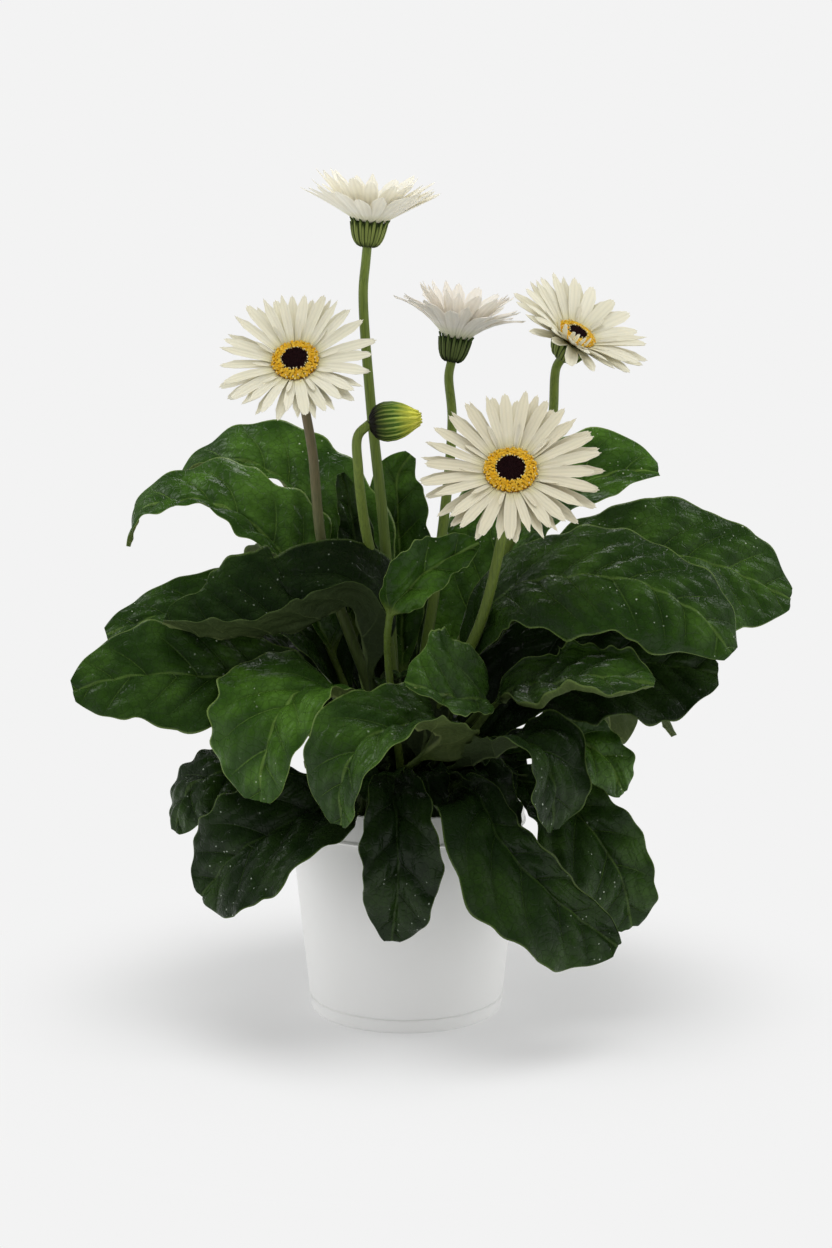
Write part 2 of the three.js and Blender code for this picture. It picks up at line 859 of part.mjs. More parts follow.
// ---- Bud ----
// Its own +Z runs from its foot to its tip.
const BUD = {
  foot: [-20, -20, 348],
  facing: [0.99, 0, 0.11],
  seat: [2, 250],
  via: [[-13.5, 2, 240], [-23.5, -8, 288], [-27, -17, 322], [-27, -19, 341]],
  bracts: [[0, 3.2], [3, 8.2], [8, 10.4], [14, 10.1], [19, 8.5]],
  tip: [[19.3, 8.1], [23, 6.2], [27, 3.2], [28.8, 1]],
  sides: 16,
};

function budGeometry(profile) {
  const rings = profile.map(([height, radius], row) =>
    Array.from({ length: BUD.sides }, (unused, i) => {
      const turn = (2 * Math.PI * i) / BUD.sides;
      const out = radius * (1 + ((i + row) % 2 ? 0.05 : 0));
      return new THREE.Vector3(out * Math.cos(turn), out * Math.sin(turn), height);
    }),
  );
  return loft(rings);
}

const budFacing = vec(BUD.facing).normalize();
const bud = new THREE.Group();
bud.position.copy(vec(BUD.foot));
bud.quaternion.setFromUnitVectors(UP, budFacing);
plant.add(bud);
addPiece("bud_bracts", budGeometry(BUD.bracts), COLOURS.budBracts, 0.6, bud);
addPiece("bud_tip", budGeometry(BUD.tip), COLOURS.budTip, 0.6, bud);
const budStemTop = vec(BUD.foot).addScaledVector(budFacing, -CLEARANCE);
const budStemFoot = seat(BUD.seat);
const budStemPath = [
  budStemFoot,
  budStemFoot.clone().addScaledVector(UP, 30),
  ...BUD.via.map(vec),
  budStemTop,
];
addPiece("bud_stem", stemGeometry(budStemPath, budFacing), COLOURS.stem, 0.55);

export default plant;
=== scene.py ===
# %% [markdown]
# # A gerbera in a white pot
#
# This lesson dresses a finished CAD model of a potted gerbera. The CAD solids give every leaf, stem and
# flower head its place. Each gets a finer piece here: blistered leaves, toothed petals, tiny florets.
# Everything is in metres, +Z is up, the pot stands on z = 0 and the viewer is at -Y.

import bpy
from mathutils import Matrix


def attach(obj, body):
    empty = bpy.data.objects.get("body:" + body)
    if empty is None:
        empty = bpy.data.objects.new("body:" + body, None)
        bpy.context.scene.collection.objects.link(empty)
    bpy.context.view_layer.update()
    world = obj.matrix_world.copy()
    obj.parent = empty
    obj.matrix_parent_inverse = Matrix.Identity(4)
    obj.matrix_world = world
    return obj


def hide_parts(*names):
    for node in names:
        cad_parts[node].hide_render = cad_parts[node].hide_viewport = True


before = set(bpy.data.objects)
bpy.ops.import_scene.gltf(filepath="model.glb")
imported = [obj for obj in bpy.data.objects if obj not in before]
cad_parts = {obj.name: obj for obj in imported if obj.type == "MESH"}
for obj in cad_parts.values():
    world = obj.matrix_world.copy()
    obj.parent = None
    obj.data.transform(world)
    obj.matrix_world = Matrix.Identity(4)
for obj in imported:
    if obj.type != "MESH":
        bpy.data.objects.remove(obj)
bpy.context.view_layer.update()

# %% Libraries and units
import math

import bpy
import numpy as np
from mathutils import Matrix, Vector

MM = 0.001
UP = Vector((0, 0, 1))
scene = bpy.context.scene
ride_count = 0


def hex_colour(code):
    """An sRGB hex colour as the linear RGBA that shaders work in."""
    channels = [int(code[i : i + 2], 16) / 255 for i in (1, 3, 5)]
    linear = [c / 12.92 if c <= 0.04045 else ((c + 0.055) / 1.055) ** 2.4 for c in channels]
    return (*linear, 1.0)


print("1 mm is", MM, "of Blender's units")

# %% [markdown]
# ## Camera, light and floor
#
# A plant portrait is taken on a white sweep. The light is a wide soft one overhead and two brighter sides,
# with little from the viewer's side, so the round pot is darkest in its middle and the space between the
# leaves sinks into shade. Three small boxes give only highlights. A camera with a fairly long lens,
# slightly above the pot, looks a little down.

# %% Camera
CAMERA_PLACE = (0.0058, -1.379, 0.459)
CAMERA_DOWN = 9.44  # degrees below level
LENS = 69.3  # mm, on a sensor 36 mm high

camera = bpy.data.objects.new("camera", bpy.data.cameras.new("camera"))
camera.location = CAMERA_PLACE
camera.rotation_euler = (math.radians(90 - CAMERA_DOWN), 0, 0)
camera.data.lens = LENS
camera.data.sensor_width = 36
scene.collection.objects.link(camera)
scene.camera = camera
scene.view_settings.view_transform = "Standard"
print("camera", CAMERA_DOWN, "degrees down with a", LENS, "mm lens")


# %% Helpers for every node tree
def add(tree, kind, inputs=None, out=0, **settings):
    """Adds a node and gives one of its outputs, or the node itself where out is None.

    An input that is given as a socket is linked to it, and anything else becomes its value.
    """
    made = tree.nodes.new(kind)
    for name, value in settings.items():
        setattr(made, name, value)
    for key, value in (inputs or {}).items():
        if isinstance(value, bpy.types.NodeSocket):
            tree.links.new(value, made.inputs[key])
        else:
            made.inputs[key].default_value = value
    return made if out is None or not made.outputs else made.outputs[out]


def work_out(tree, value, rows):
    """Adds the nodes of a calculation and keeps each result in value, under its label.

    A row is a label, an operation and its terms, which are numbers or labels of earlier values. RANDOM has
    the lowest and the highest value and a number that sets its seed apart.
    """
    for label, operation, *terms in rows:
        terms = [value.get(term, term) for term in terms]
        if operation == "RANDOM":
            seed = add(tree, "ShaderNodeMath", {0: value["Seed"], 1: terms.pop()}, operation="ADD")
            span = {2: terms[0], 3: terms[1], "Seed": seed}
            value[label] = add(tree, "FunctionNodeRandomValue", span, out=1)
        else:
            value[label] = add(tree, "ShaderNodeMath", dict(enumerate(terms)), operation=operation)


def blank_material(name):
    """A new material and its empty tree."""
    made = bpy.data.materials.new(name)
    made.use_nodes = True
    made.node_tree.nodes.clear()
    return made, made.node_tree


print("node helpers ready")

# %% Light
BACKDROP = hex_colour("#F3F3F3")
WHITE = (1, 1, 1, 1)
SIDE_LIGHT, VIEWER_LIGHT, BACK_LIGHT, TOP_LIGHT = 2.1, 0.3, 0.6, 0.3
GLOSS_SHARE = 0.2  # how much of that glossy surfaces reflect: polarised light takes most of the haze away
SUN_ENERGY, SUN_SPREAD, SUN_TILT = 1.6, math.radians(45), math.radians(10)
BOX_SIZE, BOX_RADIANCE, BOX_DISTANCE = 0.4, 4.0, 1.6
BOX_AIMS = ((0, 0.64, 0.77), (-0.6, 0.3, 0.74), (0.6, 0.3, 0.74))

world = bpy.data.worlds.new("white_sweep")
world.use_nodes = True
scene.world = world
sky = world.node_tree
sky.nodes.clear()
aim = add(sky, "ShaderNodeTexCoord", out="Generated")
x, y, z = add(sky, "ShaderNodeSeparateXYZ", {0: aim}, out=None).outputs
lit = add(sky, "ShaderNodeMapRange", {0: y, 1: -0.7, 2: 0.5, 3: VIEWER_LIGHT, 4: BACK_LIGHT})
sideways = add(sky, "ShaderNodeMath", {0: x, 1: 2.0}, operation="POWER")
lit = add(sky, "ShaderNodeMapRange", {0: sideways, 1: 0.1, 2: 0.9, 3: lit, 4: SIDE_LIGHT})
overhead = add(sky, "ShaderNodeMapRange", {0: z, 1: 0.4, 2: 0.8})
lit = add(sky, "ShaderNodeMix", {0: overhead, 2: lit, 3: TOP_LIGHT}, data_type="FLOAT")
path = add(sky, "ShaderNodeLightPath", out=None).outputs
dim = add(sky, "ShaderNodeMapRange", {0: path["Is Glossy Ray"], 3: 1.0, 4: GLOSS_SHARE})
lit = add(sky, "ShaderNodeMath", {0: lit, 1: dim}, operation="MULTIPLY")
studio = add(sky, "ShaderNodeBackground", {"Color": WHITE, "Strength": lit})
sweep = add(sky, "ShaderNodeBackground", {"Color": BACKDROP, "Strength": 1.0})
both = add(sky, "ShaderNodeMixShader", {0: path["Is Camera Ray"], 1: studio, 2: sweep})
add(sky, "ShaderNodeOutputWorld", {"Surface": both})

sun = bpy.data.objects.new("overhead_light", bpy.data.lights.new("overhead_light", "SUN"))
sun.data.energy = SUN_ENERGY
sun.data.angle = SUN_SPREAD
sun.rotation_euler = (SUN_TILT, 0, 0)
sun.visible_glossy = False  # it is a wide soft source, which leaves no highlight of its own
scene.collection.objects.link(sun)

for number, aim in enumerate(BOX_AIMS):
    name = f"gloss_box_{number}"
    box = bpy.data.objects.new(name, bpy.data.lights.new(name, "AREA"))
    box.data.size = BOX_SIZE
    box.data.energy = BOX_RADIANCE * math.pi * BOX_SIZE**2
    box.location = BOX_DISTANCE * Vector(aim).normalized()
    box.rotation_euler = Vector(aim).to_track_quat("Z", "Y").to_euler()
    box.visible_diffuse = box.visible_camera = box.visible_transmission = False
    scene.collection.objects.link(box)
print("one overhead light,", len(BOX_AIMS), "small boxes for the highlights, and a sweep lit from both sides")

# %% Floor
FLOOR_REACH = 9  # m
FLOOR_GLOW = 0.26  # the sweep is lit from below as well, as a light table is
SHADE_FROM, SHADE_TO = 0.12, 0.3  # m from the pot: beyond it the sweep is evenly bright

corners = [(FLOOR_REACH * i, FLOOR_REACH * j, 0) for i, j in ((-1, -1), (1, -1), (1, 1), (-1, 1))]
floor_mesh = bpy.data.meshes.new("floor")
floor_mesh.from_pydata(corners, [], [(0, 1, 2, 3)])
floor = bpy.data.objects.new("floor", floor_mesh)
scene.collection.objects.link(floor)
paint, tree = blank_material("painted_sweep")
floor.data.materials.append(paint)
spot = add(tree, "ShaderNodeTexCoord", out="Object")
away = add(tree, "ShaderNodeVectorMath", {0: spot}, out="Value", operation="LENGTH")
reach = {0: away, 1: SHADE_FROM, 2: SHADE_TO}
far = add(tree, "ShaderNodeMapRange", reach, interpolation_type="SMOOTHSTEP")
matt = add(tree, "ShaderNodeBsdfDiffuse", {"Color": hex_colour("#CBCBCB"), "Roughness": 0.0})
glow = add(tree, "ShaderNodeEmission", {"Color": WHITE, "Strength": FLOOR_GLOW})
near = add(tree, "ShaderNodeAddShader", {0: matt, 1: glow})
even = add(tree, "ShaderNodeEmission", {"Color": BACKDROP, "Strength": 1.0})
both = add(tree, "ShaderNodeMixShader", {0: far, 1: near, 2: even})
add(tree, "ShaderNodeOutputMaterial", {"Surface": both})
print("floor of", 2 * FLOOR_REACH, "m on z = 0")

# %% [markdown]
# ## Shapes in code
#
# Most pieces here are grids of points bent by a rule. One function makes a mesh from points and faces, one
# closes a grid and its underside into a sheet, one turns a profile, and one puts a finished piece on the
# plant. A piece keeps its object at the origin, and its place is in its mesh.


# %% Mesh helpers
def mesh_object(name, points, faces, uv=None, marks=None, skins=()):
    """An object from points in mm. uv: {layer: a pair for each face corner}. marks: {attribute: values}."""
    mesh = bpy.data.meshes.new(name)
    mesh.from_pydata((np.asarray(points, float) * MM).tolist(), [], faces)
    for layer, pairs in (uv or {}).items():
        mesh.uv_layers.new(name=layer).data.foreach_set("uv", np.asarray(pairs, np.float32).ravel())
    for label, values in (marks or {}).items():
        store = mesh.attributes.new(label, "FLOAT", "POINT")
        store.data.foreach_set("value", np.asarray(values, np.float32))
    mesh.polygons.foreach_set("use_smooth", [True] * len(mesh.polygons))
    mesh.update()
    for skin in skins:
        mesh.materials.append(skin)
    made = bpy.data.objects.new(name, mesh)
    scene.collection.objects.link(made)
    return made


def put(piece, node_name):
    """Makes a piece stand for a CAD node of the plant, which is all one body."""
    global ride_count
    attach(piece, "root")
    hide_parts(node_name)
    ride_count += 1
    return piece


def closed_grid(rows, columns, swapped=False, sides=True):
    """Faces of a sheet: a grid of points, the grid of its underside, and the strips between their edges.

    swapped: for a sheet whose columns run to its right instead of its left. sides: with strips along them.
    """
    top = np.arange(rows * columns).reshape(rows, columns)
    low = top + rows * columns
    grids = [(top, False), (low, True)]
    for end, flip in ((0, True), (-1, False)):
        if sides:
            grids.append((np.stack([top[:, end], low[:, end]], 1), flip))
        grids.append((np.stack([top[end], low[end]], 0), flip))
    faces = []
    for ids, flip in grids:
        ids = ids.T if swapped else ids
        corners = [ids[:-1, :-1], ids[:-1, 1:], ids[1:, 1:], ids[1:, :-1]]
        faces.append(np.stack(corners[::-1] if flip else corners, 2).reshape(-1, 4))
    return np.vstack(faces)


def lathe(profile, sides, wobble=None):
    """Points and faces of a turned body. Its [radius, height] points run up the outside, axis to axis."""
    turns = np.linspace(0, 2 * math.pi, sides, endpoint=False)
    inner = np.array(profile[1:-1], float)
    radius, height = (np.repeat(inner[:, k : k + 1], sides, 1) for k in (0, 1))
    if wobble is not None:
        radius, height = wobble(radius, height, turns[None, :])
    rings = np.stack([radius * np.cos(turns), radius * np.sin(turns), height], 2).reshape(-1, 3)
    points = np.vstack([rings, [0, 0, profile[0][1]], [0, 0, profile[-1][1]]])
    rows, foot, top = len(inner), len(rings), len(rings) + 1
    faces = []
    for i in range(sides):
        j = (i + 1) % sides
        faces.append((foot, j, i))
        for r in range(0, (rows - 1) * sides, sides):
            faces.append((r + i, r + j, r + sides + j, r + sides + i))
        faces.append((top, (rows - 1) * sides + i, (rows - 1) * sides + j))
    return points, faces


def turned_shape(name, profile, sides, wobble=None, skins=()):
    """A turned body with a strap map: V runs from its foot to its top."""
    points, faces = lathe(profile, sides, wobble)
    heights = points[:, 2]
    share = (heights - heights.min()) / (heights.max() - heights.min())
    uv = [(0.5, share[i]) for face in faces for i in face]
    return mesh_object(name, points, faces, {"strap": uv}, skins=skins)


def joined(name, parts, matrix=None):
    """One object from several, moved to its place in its mesh."""
    bpy.ops.object.select_all(action="DESELECT")
    for part in parts:
        part.select_set(True)
    bpy.context.view_layer.objects.active = parts[0]
    if len(parts) > 1:
        bpy.ops.object.join()
    made = parts[0]
    made.name = name
    if matrix is not None:
        made.data.transform(matrix)
    return made


def shaded_smooth(piece, crease=None):
    """Smooth shading, but with sharp edges where the faces turn by more than the crease, in degrees."""
    piece.data.polygons.foreach_set("use_smooth", [True] * len(piece.data.polygons))
    if crease is not None:
        piece.data.set_sharp_from_angle(angle=math.radians(crease))
    return piece


def settled(piece):
    """Keeps the result of a piece's modifiers as its mesh."""
    bpy.context.view_layer.update()
    result = piece.evaluated_get(bpy.context.evaluated_depsgraph_get())
    mesh = bpy.data.meshes.new_from_object(result)
    piece.modifiers.clear()
    piece.data = mesh
    return piece


print("mesh helpers ready")

# %% [markdown]
# ## Geometry Nodes
#
# Petals, bracts and florets repeat round a centre, and crumbs lie scattered. Geometry Nodes suit both: a
# tree makes the points, turns and scales a small shape on each, and then realises the copies as one plain
# mesh. The trees are written once with named inputs, and each head calls them with its own numbers.


# %% Making and running a tree
def new_tree(name, inputs):
    """An empty tree, and its inputs as sockets. inputs: {name: a number, or the kind of anything else}."""
    kinds = {int: "NodeSocketInt", float: "NodeSocketFloat"}
    tree = bpy.data.node_groups.new(name, "GeometryNodeTree")
    for label, value in inputs.items():
        kind = kinds.get(type(value), f"NodeSocket{value}")
        socket = tree.interface.new_socket(name=label, in_out="INPUT", socket_type=kind)
        if type(value) in kinds:
            socket.default_value = value
    tree.interface.new_socket(name="Mesh", in_out="OUTPUT", socket_type="NodeSocketGeometry")
    return tree, {socket.name: socket for socket in add(tree, "NodeGroupInput", out=None).outputs}


def finish_tree(tree, geometry, material):
    """Ends a tree: plain mesh, one material."""
    real = add(tree, "GeometryNodeRealizeInstances", {0: geometry})
    dressed = add(tree, "GeometryNodeSetMaterial", {"Geometry": real, "Material": material})
    add(tree, "NodeGroupOutput", {0: dressed})


def lay_copies(tree, value, points, rotation, scale, pick):
    """Lays the tree's shapes out on its points, each with its own tint. pick: the seed that picks them."""
    labels = [label for label in value if label.startswith("Shape")]
    shapes = add(tree, "GeometryNodeJoinGeometry", out=None)
    for label in labels:
        given = {"Object": value[label], "As Instance": True}
        tree.links.new(add(tree, "GeometryNodeObjectInfo", given, out="Geometry"), shapes.inputs[0])
    chance = {4: 0, 5: len(labels) - 1, "Seed": pick}
    inputs = {
        "Points": points,
        "Instance": shapes.outputs[0],
        "Pick Instance": True,
        "Instance Index": add(tree, "FunctionNodeRandomValue", chance, out=2, data_type="INT"),
        "Rotation": rotation,
        "Scale": scale,
    }
    copies = add(tree, "GeometryNodeInstanceOnPoints", inputs)
    mark = {"Geometry": copies, "Name": "tint", "Value": value["tint"]}
    return add(tree, "GeometryNodeStoreNamedAttribute", mark, data_type="FLOAT", domain="INSTANCE")


def pattern(tree, value, rows, pick):
    """Fills a tree whose rows work out the place, the angles and the size of each of its copies."""
    value["Index"] = add(tree, "GeometryNodeInputIndex")
    work_out(tree, value, rows)
    triples = ((("x", "y", "z"), 0.0), (("roll", "pitch", "turn"), 0.0), (("long", "wide", "tall"), 1.0))
    place, angles, scale = (
        add(tree, "ShaderNodeCombineXYZ", {k: value.get(label, usual) for k, label in enumerate(labels)})
        for labels, usual in triples
    )
    points = add(tree, "GeometryNodePoints", {"Count": value["Count"], "Position": place})
    rotation = add(tree, "FunctionNodeEulerToRotation", {0: angles})
    copies = lay_copies(tree, value, points, rotation, scale, pick)
    finish_tree(tree, copies, value["Material"])
    print(tree.name, "has", len(tree.nodes), "nodes")


def grow(name, tree, values, start=None):
    """Runs a tree on a start mesh, or on nothing, and keeps the result as a plain mesh object."""
    made = bpy.data.objects.new(name, start or bpy.data.meshes.new(name))
    scene.collection.objects.link(made)
    rule = made.modifiers.new("rule", "NODES")
    rule.node_group = tree
    for socket in tree.interface.items_tree:
        if socket.in_out == "INPUT" and socket.name in values:
            rule[socket.identifier] = values[socket.name]
    made.update_tag()
    return settled(made)


print("trees can be run")

# %% A ring of shapes
# Points on a circle, each with a shape that points outwards, turned up by its rise.
ROUND_ROWS = (
    ("cosine", "COSINE", "turn"),
    ("sine", "SINE", "turn"),
    ("x", "MULTIPLY", "cosine", "radius"),
    ("y", "MULTIPLY", "sine", "radius"),
)
ring_tree, value = new_tree(
    "ring_of_shapes",
    {
        "Count": 20, "Radius": 0.01, "Height": 0.0, "Rise": 0.0, "Rise jitter": 0.0, "Turn": 0.0,
        "Turn jitter": 0.0, "Roll jitter": 0.0, "Shortest": 0.95, "Longest": 1.05, "Seed": 1,
        "Shape A": "Object", "Shape B": "Object", "Shape C": "Object", "Material": "Material",
    },
)
value.update(z=value["Height"], radius=value["Radius"])
rows = (
    ("uneven", "RANDOM", -1.0, 1.0, 10),
    ("tilt", "RANDOM", -1.0, 1.0, 20),
    ("lean", "RANDOM", -1.0, 1.0, 30),
    ("long", "RANDOM", "Shortest", "Longest", 40),
    ("tint", "RANDOM", 0.0, 1.0, 50),
    ("step", "DIVIDE", 2 * math.pi, "Count"),
    ("shift", "MULTIPLY_ADD", "uneven", "Turn jitter", "Index"),
    ("turn", "MULTIPLY_ADD", "shift", "step", "Turn"),
    *ROUND_ROWS,
    ("rise", "MULTIPLY_ADD", "tilt", "Rise jitter", "Rise"),
    ("pitch", "MULTIPLY", "rise", -1.0),
    ("roll", "MULTIPLY", "lean", "Roll jitter"),
)
pattern(ring_tree, value, rows, value["Seed"])


def ring_of(name, shapes, count, shift, seed, skin, values):
    """Copies of three shapes in a ring turned by a share of a step. values: the tree's other inputs."""
    given = {"Count": count, "Turn": shift * 2 * math.pi / count, "Seed": seed, "Material": skin, **values}
    made = grow(name, ring_tree, {**given, **dict(zip(("Shape A", "Shape B", "Shape C"), shapes))})
    for shape in set(shapes):
        bpy.data.objects.remove(shape)
    return made


print("rings can be made")

# %% [markdown]
# ## Leaf skin
#
# A gerbera leaf is a waxy cuticle over soft tissue. Its upper face is deep green and fairly glossy, with a
# sunk midrib, sunk side veins about 23 mm apart and a fine net between them that puckers the blade. Its
# underside is pale and matt. Veins follow the leaf, so they are drawn from the leaf's own UV map, where U
# counts side veins and V is the distance from the midrib. Blotches and the net use Object coordinates.

# %% Leaf skin
VEIN_SPACING = 23  # mm between side veins
RUNG_SPACING = 3.4  # mm between the cross veins that join two side veins, like rungs
NET_CELL = 4.2  # mm, the fine net of veins; the real one is finer, and wouldn't show
BLISTER = 9  # mm, the swellings between the veins
DUST_AND_GLINT_CELL = 4.6  # mm between the places where a pale speck may lie: dust, and also a painted glint


def leaf_skin(name, layers, dull, bump_side):
    """A leaf's skin. layers: for each its mask, how much of it shows, and its darkest and lightest colour."""
    made, tree = blank_material(name)
    spot = add(tree, "ShaderNodeTexCoord", out="Object")
    veins = add(tree, "ShaderNodeUVMap", uv_map="veins")
    along, across, _ = add(tree, "ShaderNodeSeparateXYZ", {0: veins}, out=None).outputs
    value = {"along": along, "across": across}
    for label in ("rim", "stalk", "tone"):
        value["mark_" + label] = add(tree, "ShaderNodeAttribute", out="Fac", attribute_name=label)
    for label, scale, detail in (
        ("cloud", 38.0, 3.0),
        ("blister", 1 / (BLISTER * MM), 1.0),
        ("fleck", 420.0, 2.0),
        ("region", 17.0, 1.0),
    ):
        value[label] = add(tree, "ShaderNodeTexNoise", {"Vector": spot, "Scale": scale, "Detail": detail})
    for label, size, feature in (("to_net", NET_CELL, "DISTANCE_TO_EDGE"), ("to_speck", DUST_AND_GLINT_CELL, "F1")):
        inputs = {"Vector": spot, "Scale": 1 / (size * MM), "Randomness": 0.9}
        value[label] = add(tree, "ShaderNodeTexVoronoi", inputs, out="Distance", feature=feature)
    work_out(
        tree,
        value,
        (
            ("half_way", "PINGPONG", "along", 0.5),
            ("wander", "MULTIPLY_ADD", "fleck", 0.04, "half_way"),
            ("ragged", "MULTIPLY_ADD", "fleck", 0.3, "to_speck"),
        ),
    )
    # Each mask goes over from at_low to 1 - at_low where its source rises from low to high.
    for label, source, low, high, at_low in (
        ("blotch", "cloud", 0.38, 0.72, 0),
        ("net", "to_net", 0.0, 0.14, 1),
        ("vein", "wander", 0.02, 0.055, 1),
        ("midrib", "across", 0.003, 0.01, 1),
        ("inner", "mark_rim", 0.3, 0.95, 1),
        # The rim is a pale line along the margin: partly its own colour and partly a painted highlight.
        ("rim", "mark_rim", 0.965, 0.995, 0),
        ("stalk", "mark_stalk", 0.2, 0.8, 0),
        # The band along each side vein is painted darker: painted shade in the grooves.
        ("groove", "wander", 0.03, 0.17, 1),
        # The pillow tops between the veins are painted lighter: painted highlight.
        ("pillow", "half_way", 0.15, 0.45, 0),
        # Pale specks in clusters: dust, and painted glints.
        ("speck", "ragged", 0.21, 0.26, 1),
        ("patch", "region", 0.52, 0.62, 0),
        ("between", "half_way", 0.08, 0.3, 0),
    ):
        inputs = {0: value[source], 1: low, 2: high, 3: at_low, 4: 1 - at_low}
        value[label] = add(tree, "ShaderNodeMapRange", inputs, interpolation_type="SMOOTHSTEP")
    work_out(
        tree,
        value,
        (
            ("vein", "MULTIPLY", "vein", "inner"),
            ("groove", "MULTIPLY", "groove", "inner"),
            ("pillow", "MULTIPLY", "pillow", "inner"),
            ("between", "MULTIPLY", "between", "blotch"),
            ("speck", "MULTIPLY", "speck", "patch"),
            ("bent", "MULTIPLY", "cloud", 9.0),
            ("rungs", "MULTIPLY_ADD", "across", 200 * math.pi / RUNG_SPACING, "bent"),
            ("rungs", "SINE", "rungs"),
            ("rungs", "MULTIPLY", "rungs", "between"),
            ("height", "MULTIPLY", "net", -0.3),
            ("height", "MULTIPLY_ADD", "vein", -0.9, "height"),
            ("height", "MULTIPLY_ADD", "speck", 0.2, "height"),
            ("height", "MULTIPLY_ADD", "rungs", 0.35, "height"),
            ("height", "MULTIPLY_ADD", "blister", 2.8, "height"),
            ("height", "MULTIPLY_ADD", "fleck", 0.3, "height"),
        ),
    )
    flesh = None
    # Each layer goes from its darkest to its lightest colour by the leaf's tone, which is partly painted
    # shade.
    for label, share, dark, light in layers:
        ends = {0: value["mark_tone"], 6: hex_colour(dark), 7: hex_colour(light)}
        colour = add(tree, "ShaderNodeMix", ends, out=2, data_type="RGBA")
        if flesh is not None:
            part = add(tree, "ShaderNodeMath", {0: value[label], 1: share}, operation="MULTIPLY")
            colour = add(tree, "ShaderNodeMix", {0: part, 6: flesh, 7: colour}, out=2, data_type="RGBA")
        flesh = colour
    relief = {"Height": value["height"], "Strength": 0.85, "Distance": bump_side * MM}
    roughness = {0: value["fleck"], 1: 0.3, 2: 0.7, 3: dull, 4: dull + 0.14}
    look = {
        "Base Color": flesh,
        "Roughness": add(tree, "ShaderNodeMapRange", roughness),
        "IOR": 1.4,
        "Specular IOR Level": 0.25,
        "Normal": add(tree, "ShaderNodeBump", relief),
    }
    add(tree, "ShaderNodeOutputMaterial", {"Surface": add(tree, "ShaderNodeBsdfPrincipled", look)})
    print(name, "uses", len(tree.nodes), "nodes")
    return made


leaf_upper = leaf_skin(
    "leaf_waxy_cuticle",
    [
        ("flesh", 1.0, "#0F1D09", "#2A4812"),
        ("blotch", 1.0, "#1B2C0E", "#4A7022"),
        # painted highlight on the pillow tops
        ("pillow", 0.15, "#1E3010", "#557C28"),
        ("net", 0.3, "#0C1607", "#22380C"),
        # painted shade along the veins
        ("groove", 0.4, "#0A1306", "#1F350C"),
        ("vein", 0.5, "#1E3010", "#668A36"),
        ("midrib", 0.45, "#2C401A", "#7C9A48"),
        # pale margin, partly a painted highlight
        ("rim", 0.7, "#4C602D", "#8CA45A"),
        # pale specks: dust, and painted glints
        ("speck", 0.8, "#A4AEA0", "#C2CCB2"),
        ("stalk", 1.0, "#33421C", "#62762F"),
    ],
    dull=0.24,
    bump_side=0.5,
)
leaf_under = leaf_skin(
    "leaf_matt_underside",
    [
        ("flesh", 1.0, "#27331A", "#56692F"),
        ("blotch", 1.0, "#323F22", "#68793C"),
        # painted highlight on the pillow tops
        ("pillow", 0.2, "#323F22", "#68793C"),
        ("net", 0.3, "#3C492A", "#7A8848"),
        # painted shade along the veins
        ("groove", 0.2, "#27331A", "#56692F"),
        ("vein", 0.7, "#485632", "#87934F"),
        ("midrib", 0.9, "#56653C", "#98A463"),
        # pale margin, partly a painted highlight
        ("rim", 0.5, "#46592A", "#879F55"),
        ("stalk", 1.0, "#33421C", "#62762F"),
    ],
    dull=0.6,
    bump_side=-0.4,
)

# %% [markdown]
# ## Leaves
#
# Each leaf is a stalk that opens into a blade. Its midrib is a smooth curve through a few points. Across
# it, each half rises by its own angle and may curl at the margin. A modelled grid follows those rules, so
# the numbers below are the same ones that place the leaf's solid, and the fine relief is added on top:
# the sunk midrib and side veins, the pillows between them, and the ruffled, slightly toothed margin.

